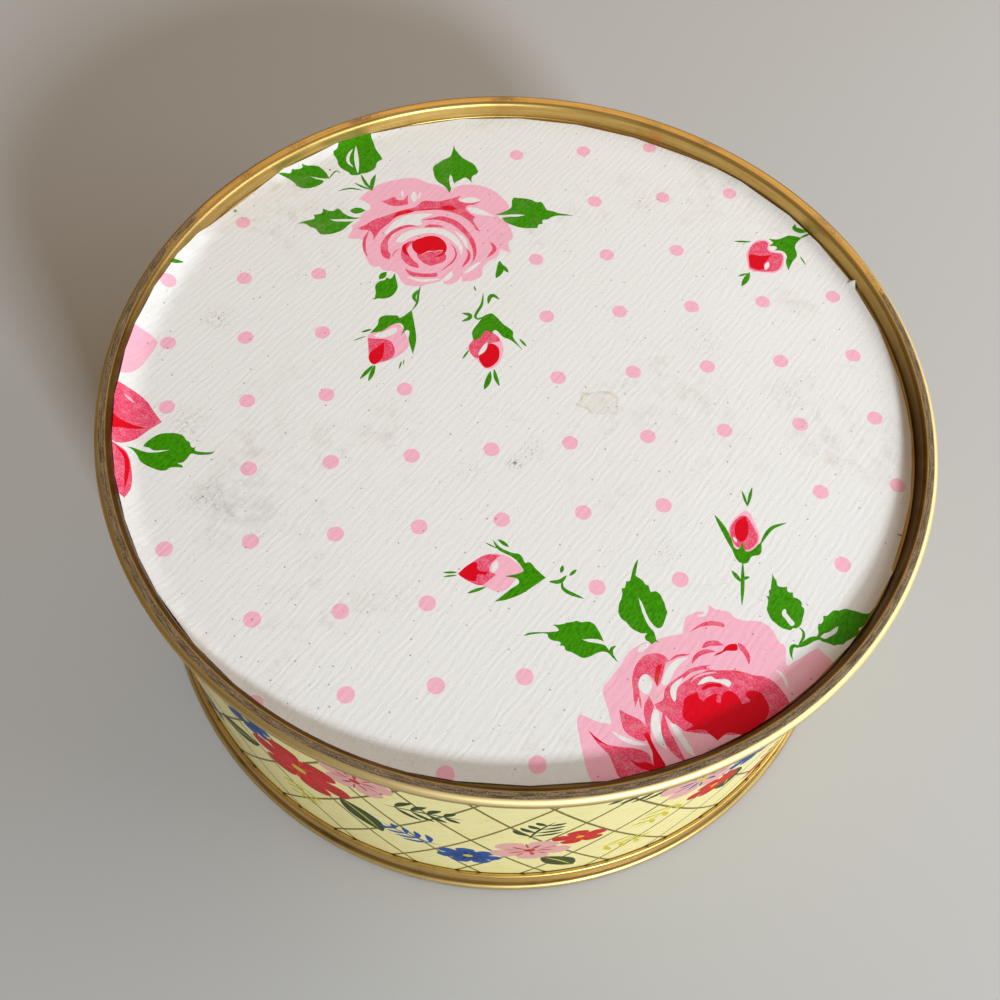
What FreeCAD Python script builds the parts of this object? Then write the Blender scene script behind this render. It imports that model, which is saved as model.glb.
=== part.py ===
import FreeCAD, Part

import math
import os

# A round candy tin, standing upside down: its slip lid is on the table and its seamed base is on top.
# Someone has stuck a disc of printed paper in the recess of the base.
# Lengths are in millimetres. The origin is on the table, on the tin's axis, and +Z points up.
# Every sheet is described by its middle line, as points (radius, height), with a bend at each corner.

# Overall
overall_height = 81.00
seam_radius = 89.00

# Tinplate
body_plate = 0.30
end_plate = 0.32
lid_plate = 0.30

# Double seam that joins the base to the wall. It is rolled loosely, so its layers stand apart.
seam_height = 3.20
seam_gap = 0.42
seam_top_gap = 0.20
seam_fold_gap = 0.38
cover_hook_gap = 0.40
crown_bend = 0.95
body_hook_bend = 0.58

# Base
countersink = 3.85
chuck_wall_taper = 0.52
panel_bend = 0.50

# Printed paper disc, cut out with scissors in short straight cuts
paper_thickness = 0.25
paper_edge_gap = 0.08
paper_nick_depth = 0.80
paper_nick_width = 1.5
paper_nick_angles = (-27, 27)
paper_cut_angles = (
    -172, -159, -144, -131, -121, -107, -96, -80, -68, -53, -41, -27,
    -14, 3, 15, 27, 41, 57, 74, 88, 101, 119, 132, 140, 158, 171,
)

# Curl round the tin's mouth
mouth_curl_bend = 0.85
mouth_curl_tail = 0.10

# Lock seam down the inside of the wall, at the back
lock_seam_width = 5.00
lock_seam_thickness = 0.55
lock_seam_angle = 90
lock_seam_end_gap = 1.20

# Slip lid
lid_height = 8.50
lid_side_clearance = 0.40
lid_seat_gap = 0.30
hem_gap = 0.15
hem_length = 2.00
bead_bend = 1.10
bead_projection = 1.40
bead_root_bend = 0.28
lid_panel_radius = 71.00
lid_panel_lift = 0.80
lid_panel_slope = 1.00
lid_panel_bend = 0.80

# Middle lines and faces that follow from these sizes
seaming_wall_middle = seam_radius - end_plate / 2
body_hook_middle = seam_radius - end_plate - seam_gap - body_plate / 2
cover_hook_middle = body_hook_middle - body_plate / 2 - seam_gap - end_plate / 2
wall_radius = cover_hook_middle - end_plate / 2 - seam_gap
wall_middle = wall_radius - body_plate / 2
wall_inner = wall_radius - body_plate
chuck_wall_middle = wall_inner - seam_gap - end_plate / 2
crown_middle = overall_height - end_plate / 2
seam_foot_middle = overall_height - seam_height + end_plate / 2
seam_foot_bend = (seaming_wall_middle - cover_hook_middle) / 2
body_hook_top = overall_height - end_plate - seam_top_gap - body_plate / 2
body_hook_end = seam_foot_middle + end_plate / 2 + seam_fold_gap
cover_hook_end = body_hook_top - body_plate / 2 - cover_hook_gap
panel_top = overall_height - countersink
panel_middle = panel_top - end_plate / 2
panel_corner = chuck_wall_middle - chuck_wall_taper
mouth_curl_foot = lid_plate + lid_seat_gap + body_plate / 2
mouth_curl_inner = wall_middle - 2 * mouth_curl_bend
mouth_curl_top = mouth_curl_foot + 2 * mouth_curl_bend
hem_middle = wall_radius + lid_side_clearance + lid_plate / 2
skirt_middle = hem_middle + lid_plate + hem_gap
hem_bend = (skirt_middle - hem_middle) / 2
bead_middle = skirt_middle + bead_projection
lid_foot_middle = lid_plate / 2
lid_top_middle = lid_height - lid_plate / 2

full_turn = 360
shortest_edge = 0.0001
origin = FreeCAD.Vector(0, 0, 0)
axis = FreeCAD.Vector(0, 0, 1)


def left_of(direction, distance):
    """A step to the left of a direction in the upright plane y = 0."""
    return FreeCAD.Vector(-direction.z, 0, direction.x) * distance


def side_of_sheet(path, bends, shift):
    """The edges along one side of a bent sheet, moved left of its middle line by shift."""
    points = [FreeCAD.Vector(radius, 0, height) for radius, height in path]
    runs = [(end - start).normalize() for start, end in zip(points, points[1:])]
    stations = [points[0] + left_of(runs[0], shift)]
    bulges = []
    for corner, bend, run_in, run_out in zip(points[1:-1], bends, runs, runs[1:]):
        reach = bend * math.tan(run_in.getAngle(run_out) / 2)
        turns_left = run_in.x * run_out.z > run_in.z * run_out.x
        centre = corner - run_in * reach + left_of(run_in, bend if turns_left else -bend)
        arc_start = corner - run_in * reach + left_of(run_in, shift)
        arc_end = corner + run_out * reach + left_of(run_out, shift)
        stations += [arc_start, arc_end]
        bulges.append(centre + (corner - centre).normalize() * (arc_start - centre).Length)
    stations.append(points[-1] + left_of(runs[-1], shift))
    edges = []
    for index, (start, end) in enumerate(zip(stations, stations[1:])):
        if index % 2:
            edges.append(Part.Arc(start, bulges[index // 2], end).toShape())
        elif (end - start).Length > shortest_edge:
            edges.append(Part.makeLine(start, end))
    return edges, stations[0], stations[-1]


def bent_sheet(path, bends, thickness):
    """A sheet of even thickness, bent along a path and turned all the way round the tin's axis."""
    left, left_start, left_end = side_of_sheet(path, bends, thickness / 2)
    right, right_start, right_end = side_of_sheet(path, bends, -thickness / 2)
    ends = [Part.makeLine(left_start, right_start), Part.makeLine(left_end, right_end)]
    outline = Part.Wire(Part.__sortEdges__(left + right + ends))
    return Part.Face(outline).revolve(origin, axis, full_turn)


def lock_seam():
    """The folded side seam, seen as a flat strip down the inside of the wall."""
    start = mouth_curl_top + body_plate / 2 + lock_seam_end_gap
    end = panel_top - end_plate - lock_seam_end_gap
    inner = wall_inner - lock_seam_thickness
    corners = [(inner, start), (wall_middle, start), (wall_middle, end), (inner, end), (inner, start)]
    outline = Part.makePolygon([FreeCAD.Vector(radius, 0, height) for radius, height in corners])
    turn = math.degrees(lock_seam_width / wall_inner)
    strip = Part.Face(outline).revolve(origin, axis, turn)
    strip.rotate(origin, axis, lock_seam_angle - turn / 2)
    return strip


def make_wall():
    """The rolled wall: curled inwards at the mouth and hooked outwards at the base end."""
    path = [
        (wall_middle - mouth_curl_bend + mouth_curl_tail, mouth_curl_top),
        (mouth_curl_inner, mouth_curl_top),
        (mouth_curl_inner, mouth_curl_foot),
        (wall_middle, mouth_curl_foot),
        (wall_middle, body_hook_top),
        (body_hook_middle, body_hook_top),
        (body_hook_middle, body_hook_end),
    ]
    bends = [mouth_curl_bend] * 3 + [body_hook_bend] * 2
    return bent_sheet(path, bends, body_plate).fuse(lock_seam()).removeSplitter()


def make_base():
    """The end plate: recessed panel, chuck wall, crown, seaming wall and cover hook."""
    path = [
        (0, panel_middle),
        (panel_corner, panel_middle),
        (chuck_wall_middle, crown_middle),
        (seaming_wall_middle, crown_middle),
        (seaming_wall_middle, seam_foot_middle),
        (cover_hook_middle, seam_foot_middle),
        (cover_hook_middle, cover_hook_end),
    ]
    bends = [panel_bend, crown_bend, crown_bend, seam_foot_bend, seam_foot_bend]
    return bent_sheet(path, bends, end_plate)


def make_lid():
    """The slip lid: sunk panel, foot ring, rolled bead, skirt and a hem folded inwards."""
    bead_top_middle = lid_foot_middle + 2 * bead_bend
    path = [
        (0, lid_foot_middle + lid_panel_lift),
        (lid_panel_radius, lid_foot_middle + lid_panel_lift),
        (lid_panel_radius + lid_panel_slope, lid_foot_middle),
        (bead_middle, lid_foot_middle),
        (bead_middle, bead_top_middle),
        (skirt_middle, bead_top_middle),
        (skirt_middle, lid_top_middle),
        (hem_middle, lid_top_middle),
        (hem_middle, lid_top_middle - hem_length),
    ]
    bends = [lid_panel_bend] * 2 + [bead_bend] * 2 + [bead_root_bend] + [hem_bend] * 2
    return bent_sheet(path, bends, lid_plate)


def make_paper():
    """The paper disc: straight scissor cuts, with a small nick where two of them met badly."""
    panel_turn = math.atan2(crown_middle - panel_middle, chuck_wall_taper)
    flat_radius = panel_corner - panel_bend * math.tan(panel_turn / 2)
    radius = flat_radius - paper_edge_gap
    corners = []
    for angle in paper_cut_angles:
        if angle in paper_nick_angles:
            half_nick = math.degrees(paper_nick_width / 2 / radius)
            corners += [
                (radius, angle - half_nick), (radius - paper_nick_depth, angle), (radius, angle + half_nick),
            ]
        else:
            corners.append((radius, angle))
    rim = [
        FreeCAD.Vector(reach * math.cos(math.radians(angle)), reach * math.sin(math.radians(angle)), panel_top)
        for reach, angle in corners
    ]
    return Part.Face(Part.makePolygon(rim + rim[:1])).extrude(axis * paper_thickness)


def main():
    pieces = {
        "lid": make_lid(),
        "tin_wall": make_wall(),
        "tin_base": make_base(),
        "paper_disc": make_paper(),
    }
    os.makedirs("parts", exist_ok=True)
    for name, shape in pieces.items():
        solid = shape.Solids[0]
        solid.exportStep(f"parts/{name}.step")
        box = solid.optimalBoundingBox()
        print(f"{name}: valid {shape.isValid()}, solids {len(shape.Solids)}, {solid.Volume:.1f} mm3,")
        print(f"  radius {box.XMax:.2f}, from z = {box.ZMin:.2f} to {box.ZMax:.2f}")


main()
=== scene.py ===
# %% [markdown]
# # A round candy tin, standing upside down on its lid
# The tin is four pieces of thin sheet: a rolled wall, a seamed base, a slip lid and a stuck-on disc of
# printed vinyl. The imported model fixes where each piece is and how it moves. Here every sheet is made
# again with finer bends, the two prints are drawn, and each surface gets its finish.

# %% Load the frame
import bpy
import math
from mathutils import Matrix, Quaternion, Vector
from mathutils.geometry import delaunay_2d_cdt


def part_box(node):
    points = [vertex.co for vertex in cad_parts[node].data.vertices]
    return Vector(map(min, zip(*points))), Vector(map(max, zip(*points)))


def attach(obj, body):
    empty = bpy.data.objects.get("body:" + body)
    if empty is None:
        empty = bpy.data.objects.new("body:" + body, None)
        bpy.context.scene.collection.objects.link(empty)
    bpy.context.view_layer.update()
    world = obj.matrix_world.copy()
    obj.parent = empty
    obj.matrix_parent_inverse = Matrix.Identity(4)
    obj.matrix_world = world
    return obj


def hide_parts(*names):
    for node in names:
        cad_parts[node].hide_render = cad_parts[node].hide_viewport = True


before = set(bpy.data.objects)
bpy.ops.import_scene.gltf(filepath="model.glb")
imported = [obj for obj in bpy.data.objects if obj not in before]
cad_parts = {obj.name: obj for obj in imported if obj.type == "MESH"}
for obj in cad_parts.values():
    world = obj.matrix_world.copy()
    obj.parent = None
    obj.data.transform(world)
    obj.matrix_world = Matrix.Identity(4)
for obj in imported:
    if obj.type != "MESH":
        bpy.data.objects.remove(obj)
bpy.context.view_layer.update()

mm = 0.001
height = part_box("tin_base")[1].z / mm

# %% [markdown]
# ## Sheet sizes
# A tinplate piece is one sheet of even thickness, so it is fully told by its middle line: points of
# (radius, height) and a bend radius at each corner. The outer sizes are read from the frame's boxes, and
# the rest follow from the plate and the gaps between its layers.

# %% Sizes of the sheets, in millimetres
body_plate = 0.30
end_plate = 0.32
seam_gap = 0.42
seam_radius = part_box("tin_base")[1].x / mm
body_hook = seam_radius - end_plate - seam_gap - body_plate / 2
cover_hook = body_hook - body_plate / 2 - seam_gap - end_plate / 2
wall_outer = cover_hook - end_plate / 2 - seam_gap
wall_middle = wall_outer - body_plate / 2
chuck_wall = wall_outer - body_plate - seam_gap - end_plate / 2
crown = height - end_plate / 2
paper_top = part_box("paper_disc")[1].z / mm
paper_thickness = 0.25
panel_middle = paper_top - paper_thickness - end_plate / 2
print(f"seam radius {seam_radius:.2f} mm, wall radius {wall_outer:.2f} mm, disc top at {paper_top:.2f} mm")

# %% [markdown]
# ## Turning a sheet
# On the real tin these shapes are pressed and rolled. In Blender the middle line is drawn by extruding one
# vertex from point to point, then spun once round the axis, and the Solidify modifier gives it the plate's
# thickness on both sides. That keeps the thickness even round every bend, which scaling a profile wouldn't.

# %% A bent line, and a sheet turned from it
around = 240
arc_step = math.radians(14)


def bent(path, bends):
    """The points of a path whose corners are rounded to the given radii."""
    line = [path[0]]
    for before, corner, after, bend in zip(path, path[1:], path[2:], bends):
        corner = Vector(corner)
        way_in = (corner - Vector(before)).normalized()
        way_out = (Vector(after) - corner).normalized()
        turn = way_in.angle(way_out)
        reach = bend * math.tan(turn / 2)
        hand = 1 if way_in.cross(way_out) > 0 else -1
        centre = corner - way_in * reach + Vector((-way_in.y, way_in.x)) * bend * hand
        spoke = corner - way_in * reach - centre
        steps = max(2, math.ceil(turn / arc_step))
        for step in range(steps + 1):
            angle = hand * turn * step / steps
            line.append((
                centre.x + spoke.x * math.cos(angle) - spoke.y * math.sin(angle),
                centre.y + spoke.x * math.sin(angle) + spoke.y * math.cos(angle),
            ))
    line.append(path[-1])
    return [p for i, p in enumerate(line) if i == 0 or math.dist(p, line[i - 1]) > 0.001]


def apply_modifier(piece, kind, **settings):
    """Adds a modifier with these settings and applies it."""
    modifier = piece.modifiers.new(kind.title(), kind)
    for key, value in settings.items():
        setattr(modifier, key, value)
    bpy.ops.object.modifier_apply(modifier=modifier.name)


def pick(piece, kind, chosen):
    """Selects the vertices or faces of a piece for which chosen is true, and stays in edit mode."""
    bpy.ops.object.mode_set(mode="EDIT")
    bpy.ops.mesh.select_mode(type=kind)
    bpy.ops.mesh.select_all(action="DESELECT")
    bpy.ops.object.mode_set(mode="OBJECT")
    for part in piece.data.vertices if kind == "VERT" else piece.data.polygons:
        part.select = chosen(part)
    bpy.ops.object.mode_set(mode="EDIT")


def turned_sheet(name, line, plate):
    """A sheet of even thickness, turned from its middle line of (radius, height) points."""
    bpy.ops.object.select_all(action="DESELECT")
    bpy.ops.mesh.primitive_plane_add(size=mm, location=(line[0][0] * mm, 0, line[0][1] * mm))
    piece = bpy.context.object
    piece.name = piece.data.name = name
    bpy.ops.object.transform_apply(location=True, rotation=True, scale=True)
    bpy.ops.object.mode_set(mode="EDIT")
    bpy.ops.mesh.merge(type="CENTER")
    for start, end in zip(line, line[1:]):
        step = ((end[0] - start[0]) * mm, 0, (end[1] - start[1]) * mm)
        bpy.ops.mesh.extrude_vertices_move(TRANSFORM_OT_translate={"value": step})
    bpy.ops.mesh.select_all(action="SELECT")
    bpy.ops.mesh.spin(steps=around, angle=math.tau, center=(0, 0, 0), axis=(0, 0, 1))
    bpy.ops.mesh.select_all(action="SELECT")
    bpy.ops.mesh.remove_doubles(threshold=0.01 * mm)
    bpy.ops.mesh.normals_make_consistent(inside=False)
    bpy.ops.object.mode_set(mode="OBJECT")
    apply_modifier(piece, "SOLIDIFY", thickness=plate * mm, offset=0, use_even_offset=True)
    bpy.ops.object.shade_smooth_by_angle(angle=math.radians(35))
    low, high = (Vector(corner) / mm for corner in (piece.bound_box[0], piece.bound_box[6]))
    print(f"{name}: {len(piece.data.polygons)} faces, radius {high.x:.2f}, z {low.z:.2f} to {high.z:.2f} mm")
    return piece


# %% [markdown]
# ## The base
# The end plate has a flat recessed panel, a short chuck wall, the crown, and a hook that is rolled under
# the wall's own hook. Its crown is the bright ring that frames the disc, so its two bends get the most
# care: they are what catches the light.

# %% Turn the base
seam_height = 3.20
seam_foot = height - seam_height + end_plate / 2
hook_top = height - end_plate - 0.20 - body_plate / 2
seam_wall = seam_radius - end_plate / 2
base_path = [
    (0, panel_middle),
    (chuck_wall - 0.52, panel_middle),
    (chuck_wall, crown),
    (seam_wall, crown),
    (seam_wall, seam_foot),
    (cover_hook, seam_foot),
    (cover_hook, hook_top - body_plate / 2 - 0.40),
]
seam_foot_bend = (seam_wall - cover_hook) / 2
base = turned_sheet("base_sheet", bent(base_path, [0.50, 0.95, 0.95, seam_foot_bend, seam_foot_bend]), end_plate)

# %% [markdown]
# ## The lid
# The lid is pressed from one sheet too: a sunk panel, a foot ring, a rolled bead at the table, and a skirt
# whose edge is folded inwards so that it doesn't cut the hand. From above only the bead, the groove over
# it and the skirt show.

# %% Turn the lid
lid_plate = 0.30
lid_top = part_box("lid")[1].z / mm
bead_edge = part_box("lid")[1].x / mm
skirt = wall_outer + 0.55 + 1.5 * lid_plate
hem = wall_outer + 0.12 + lid_plate / 2
bead = bead_edge - lid_plate / 2
bead_bend = 1.10
foot = lid_plate / 2
lid_path = [
    (0, foot + 0.80),
    (71, foot + 0.80),
    (72, foot),
    (bead, foot),
    (bead, foot + 2 * bead_bend),
    (skirt, foot + 2 * bead_bend),
    (skirt, lid_top - lid_plate / 2),
    (hem, lid_top - lid_plate / 2),
    (hem, lid_top - lid_plate / 2 - 2.00),
]
hem_bend = (skirt - hem) / 2
lid_bends = [0.80, 0.80, bead_bend, bead_bend, 0.28, hem_bend, hem_bend]
lid = turned_sheet("lid_sheet", bent(lid_path, lid_bends), lid_plate)

# %% [markdown]
# ## The wall
# The wall is rolled from printed sheet, curled inwards at the mouth and hooked outwards at the base. It is
# turned like the others. Its outer face is then taken away, because the print is drawn as a flat sheet of
# its own, wrapped round and merged into the gap.

# %% Turn the wall
curl_bend = 0.85
curl_inner = wall_middle - 2 * curl_bend
curl_foot = lid_plate + 0.30 + body_plate / 2
hook_end = seam_foot + end_plate / 2 + 0.38
wall_path = [
    (wall_middle - curl_bend + 0.10, curl_foot + 2 * curl_bend),
    (curl_inner, curl_foot + 2 * curl_bend),
    (curl_inner, curl_foot),
    (wall_middle, curl_foot),
    (wall_middle, hook_top),
    (body_hook, hook_top),
    (body_hook, hook_end),
]
wall = turned_sheet("wall_sheet", bent(wall_path, [curl_bend] * 3 + [0.58] * 2), body_plate)

# %% [markdown]
# ## Drawing a print
# A print is flat shapes of one ink each, laid over each other. A brush stroke swells and tapers along a
# line, and a patch is a smooth outline with a few sharp tips, such as a leaf's teeth. All are drawn in
# millimetres, so they keep the real print's scale.

# %% The drawing board
TIP = True
PAPER, PINK, ROSE, RED, GREEN, CREAM, BLUSH, SALMON, SCARLET, BLUE, NAVY, YELLOW, OLIVE, DARK_GREEN = range(14)
ink_colours = {
    PAPER: (231, 229, 225), PINK: (243, 179, 196), ROSE: (228, 64, 98), RED: (218, 0, 28),
    GREEN: (62, 148, 0), CREAM: (222, 209, 145), BLUSH: (208, 152, 142), SALMON: (166, 56, 66),
    SCARLET: (178, 8, 0), BLUE: (0, 66, 134), NAVY: (10, 24, 60), YELLOW: (190, 174, 16),
    OLIVE: (98, 86, 18), DARK_GREEN: (36, 56, 14),
}
curve_step = 0.35


def one_step(a, b):
    """The direction from a to b, of length one."""
    length = math.dist(a, b) or 1
    return (b[0] - a[0]) / length, (b[1] - a[1]) / length


def smooth_curve(points, tips, closed):
    """A curve through the points, round at each but sharp at a tip."""
    count = len(points)
    path = []
    for i in range(count if closed else count - 1):
        here, there = points[i], points[(i + 1) % count]
        first = not closed and i == 0
        last = not closed and i == count - 2
        before = here if first or tips[i] else points[i - 1]
        after = there if last or tips[(i + 1) % count] else points[(i + 2) % count]
        chord = math.dist(here, there)
        way_in = one_step(before, there)
        way_out = one_step(here, after)
        pieces = max(2, math.ceil(chord / curve_step))
        for k in range(pieces):
            t = k / pieces
            rise = 3 * t**2 - 2 * t**3
            pull_in = (t**3 - 2 * t**2 + t) * chord
            pull_out = (t**3 - t**2) * chord
            path.append(tuple(
                here[n] * (1 - rise) + there[n] * rise + way_in[n] * pull_in + way_out[n] * pull_out
                for n in (0, 1)
            ))
    return path if closed else path + [points[-1]]


class Print:
    """The shapes of one print, in the order in which they are laid on."""

    def __init__(self):
        self.shapes = []
        self.start(0, 0, 1)

    def start(self, x, y, unit, turn=0):
        """Points that follow are measured from (x, y) in this unit of millimetres, and turned by degrees."""
        self.x, self.y, self.unit = x, y, unit
        self.cos, self.sin = math.cos(math.radians(turn)), math.sin(math.radians(turn))

    def put(self, point):
        across, up = point[0] * self.unit, point[1] * self.unit
        return self.x + across * self.cos - up * self.sin, self.y + across * self.sin + up * self.cos

    def patch(self, ink, *points):
        """A closed shape through the points."""
        tips = [len(point) == 3 for point in points]
        self.shapes.append((ink, smooth_curve([self.put(p) for p in points], tips, True)))

    def stroke(self, ink, width, *points, belly=0.5):
        """A brush stroke along the points, widest at its belly and pointed at both ends."""
        spine = smooth_curve([self.put(p) for p in points], [False] * len(points), False)
        reach = [0]
        for a, b in zip(spine, spine[1:]):
            reach.append(reach[-1] + math.dist(a, b))
        left, right = [], []
        for i, (x, y) in enumerate(spine):
            along = (reach[i] / reach[-1]) ** (math.log(0.5) / math.log(belly))
            half = width * self.unit / 2 * math.sin(math.pi * along) ** 0.75
            dx, dy = one_step(spine[max(i - 1, 0)], spine[min(i + 1, len(spine) - 1)])
            left.append((x - dy * half, y + dx * half))
            right.append((x + dy * half, y - dx * half))
        self.shapes.append((ink, left + right[-2:0:-1]))

    def dot(self, ink, x, y, radius, sides=28):
        """A round dot."""
        turns = [math.tau * k / sides for k in range(sides)]
        self.shapes.append((ink, [
            self.put((x + radius * math.cos(a), y + radius * math.sin(a))) for a in turns
        ]))


# %% [markdown]
# ## The roses
# The disc is cut from a common rose-and-dot covering. Each rose is a pink flower with bare paper for its
# lights, a stippled mid pink for its folds and a red heart. The points are tenths of a millimetre from the
# flower's own middle.

# %% The full rose
tenth = 0.1


def full_rose(p):
    p.start(-25.0, 43.9, tenth)
    p.patch(PINK, (-183, 78, TIP), (-149, 124), (-108, 149), (-60, 163), (-22, 151), (10, 145), (32, 130, TIP),
            (49, 152), (87, 161), (124, 153), (156, 130), (178, 92), (150, 69, TIP), (180, 44), (195, 5),
            (185, -13), (194, -42, TIP), (169, -35, TIP), (164, -58), (146, -74, TIP), (134, -95), (131, -124),
            (92, -142), (88, -126, TIP), (76, -147), (53, -155), (46, -142, TIP), (28, -157), (-10, -169),
            (-40, -166), (-64, -135), (-95, -132), (-101, -122, TIP), (-120, -124), (-138, -100), (-150, -72),
            (-153, -47, TIP), (-190, -48, TIP), (-182, -20), (-185, -8, TIP), (-170, 12), (-168, 28),
            (-149, 51, TIP), (-156, 65))
    p.stroke(PAPER, 6, (-84, 119), (-79, 98))
    p.stroke(PAPER, 14, (-55, 120), (-50, 84))
    p.stroke(PAPER, 5, (-38, 121), (-42, 94))
    p.patch(PAPER, (54, 102, TIP), (62, 110), (76, 117), (94, 119), (108, 112, TIP), (94, 104), (76, 101))
    p.patch(PAPER, (78, 84, TIP), (96, 87), (120, 79), (148, 65, TIP), (124, 66), (100, 67), (86, 73))
    p.patch(ROSE, (-128, 78, TIP), (-112, 86), (-104, 93), (-98, 96, TIP), (-92, 88), (-80, 87), (-73, 94),
            (-68, 106, TIP), (-66, 90), (-63, 77, TIP), (-78, 70), (-95, 66), (-112, 70))
    p.patch(ROSE, (-171, -15, TIP), (-155, -2), (-140, 14), (-120, 28), (-100, 40), (-85, 50), (-66, 60),
            (-48, 68), (-40, 76), (-33, 88), (-22, 94), (0, 94), (14, 98), (30, 105), (45, 113), (60, 121, TIP),
            (53, 108), (63, 101), (80, 99), (96, 104), (110, 112, TIP), (94, 97), (78, 91), (74, 82), (84, 69),
            (101, 57, TIP), (96, 47), (101, 37), (108, 26), (116, 13, TIP), (107, 17), (98, 30), (85, 44),
            (70, 54), (52, 62), (30, 67), (8, 68), (-12, 66), (-35, 62), (-55, 55), (-72, 44), (-88, 30),
            (-98, 14), (-108, 0), (-117, -14), (-122, -26), (-128, -46, TIP), (-132, -30), (-139, -20),
            (-150, -17), (-161, -18))
    p.patch(PAPER, (-106, -20, TIP), (-98, 0), (-86, 20), (-70, 36), (-50, 46), (-28, 52), (2, 54, TIP),
            (-10, 45), (-24, 36), (-27, 28), (-22, 20), (-30, 14), (-48, 9), (-64, 1), (-78, -12), (-90, -30))
    p.patch(PAPER, (-76, -44, TIP), (-68, -22), (-50, -7), (-30, 3), (-4, 9), (28, 9), (52, -2), (70, -20),
            (81, -42), (80, -66, TIP), (73, -46), (62, -32), (46, -18), (30, -9), (8, -6), (-14, -9), (-34, -19),
            (-50, -31), (-62, -44))
    p.stroke(PAPER, 10, (56, 8), (80, -16), (93, -46))
    p.patch(ROSE, (-28, 10, TIP), (-50, 6), (-66, -3), (-80, -15), (-90, -29), (-94, -45), (-92, -61), (-89, -75),
            (-82, -84), (-84, -98, TIP), (-96, -95), (-105, -82), (-109, -62), (-107, -45), (-101, -29),
            (-93, -15), (-82, -3), (-68, 7), (-50, 13))
    p.patch(ROSE, (-26, 33, TIP), (-10, 38), (4, 44), (18, 49), (34, 48), (50, 43), (66, 33), (80, 19), (92, 5),
            (102, -10), (109, -25), (113, -41), (115, -57), (112, -73), (103, -94, TIP), (108, -73), (107, -56),
            (103, -40), (97, -26), (89, -11), (79, 1), (66, 13), (50, 25), (34, 32), (18, 36), (4, 36), (-10, 33))
    p.patch(ROSE, (-17, 8, TIP), (-9, 18), (6, 21), (20, 21), (31, 16, TIP), (20, 14), (6, 13), (-6, 10))
    p.stroke(ROSE, 8, (90, -42), (98, -60), (95, -80), (85, -101))
    p.stroke(ROSE, 5, (50, -31), (63, -48), (68, -67), (62, -87), (50, -104), (39, -119))
    p.stroke(ROSE, 3, (-79, -92), (-74, -74), (-62, -61))
    p.stroke(ROSE, 8, (-143, -16), (-149, -50), (-144, -78), (-134, -98))
    p.stroke(ROSE, 10, (142, -14), (155, -36), (140, -64))
    p.patch(ROSE, (-34, -33, TIP), (-47, -40), (-57, -54), (-60, -72), (-56, -91), (-45, -104), (-30, -113),
            (-13, -115, TIP), (-16, -104), (-27, -95), (-37, -83), (-46, -70), (-45, -56), (-39, -45))
    p.patch(ROSE, (-22, -72), (-12, -76), (-3, -68), (8, -63), (24, -59), (35, -57), (44, -68), (46, -80), (39, -92),
            (26, -99), (13, -106, TIP), (0, -101), (-12, -92), (-20, -82))
    p.patch(ROSE, (-44, -120, TIP), (-30, -127), (-10, -130), (10, -129), (30, -124, TIP), (32, -134), (14, -139),
            (-10, -141), (-30, -139), (-38, -131))
    p.stroke(PAPER, 8, (-38, -144), (-2, -151), (44, -140))
    p.stroke(PAPER, 6, (4, -165), (24, -159), (44, -148))
    p.stroke(PAPER, 13, (64, -115), (60, -131), (45, -147))
    p.stroke(PAPER, 10, (128, -78), (110, -98), (90, -120))
    p.patch(RED, (-38, -44), (-31, -32), (-18, -24), (-6, -17), (10, -14), (24, -18), (36, -28), (43, -41), (44, -55),
            (39, -67), (30, -75), (17, -79, TIP), (27, -71), (35, -63), (36, -56), (28, -56), (14, -60), (2, -62),
            (-6, -69), (-14, -75), (-24, -71), (-34, -60))
    p.stroke(RED, 10, (-46, -41), (-55, -56), (-51, -70), (-38, -84))
    p.stroke(RED, 13, (-94, 28), (-77, 46), (-44, 58))
    p.stroke(RED, 4, (-50, 57), (-15, 66), (24, 74))
    p.patch(RED, (16, 78, TIP), (26, 85), (40, 85), (54, 79, TIP), (46, 72), (32, 70), (20, 72))
    p.patch(GREEN, (-196, 154, TIP), (-212, 152), (-220, 160), (-234, 167), (-247, 179), (-255, 199),
            (-266, 215), (-267, 223, TIP), (-259, 234), (-258, 249), (-252, 262), (-240, 280), (-222, 300),
            (-205, 316), (-190, 322, TIP), (-186, 305), (-184, 288), (-175, 268), (-166, 246), (-153, 228),
            (-145, 215, TIP), (-156, 202), (-159, 181), (-175, 165), (-189, 159))
    p.stroke(PAPER, 11, (-197, 160), (-204, 190), (-211, 220), (-216, 250))
    p.stroke(PAPER, 8, (-211, 178), (-226, 194), (-229, 216), (-222, 240))
    p.patch(GREEN, (-386, 129, TIP), (-372, 134), (-358, 137), (-356, 149, TIP), (-344, 152), (-333, 160),
            (-336, 170, TIP), (-322, 168), (-309, 171), (-294, 169), (-281, 159), (-272, 149), (-262, 134, TIP),
            (-275, 131), (-294, 132), (-309, 134, TIP), (-294, 128), (-275, 124), (-277, 115), (-291, 102),
            (-306, 95), (-319, 93), (-333, 98), (-344, 109), (-362, 121), (-375, 125))
    p.patch(GREEN, (23, 290, TIP), (26, 276), (31, 268), (40, 256), (50, 246), (63, 238), (78, 229), (84, 221),
            (92, 206, TIP), (88, 196), (81, 191), (78, 182), (80, 166, TIP), (72, 176), (62, 181), (51, 172),
            (42, 164), (39, 157, TIP), (34, 167), (31, 178), (26, 187, TIP), (24, 176), (26, 162), (29, 150),
            (33, 139), (30, 126, TIP), (20, 142), (11, 150), (-1, 158), (-11, 172), (-15, 185), (-19, 200),
            (-16, 213, TIP), (-8, 221), (0, 231), (9, 238), (18, 247), (21, 261))
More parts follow.
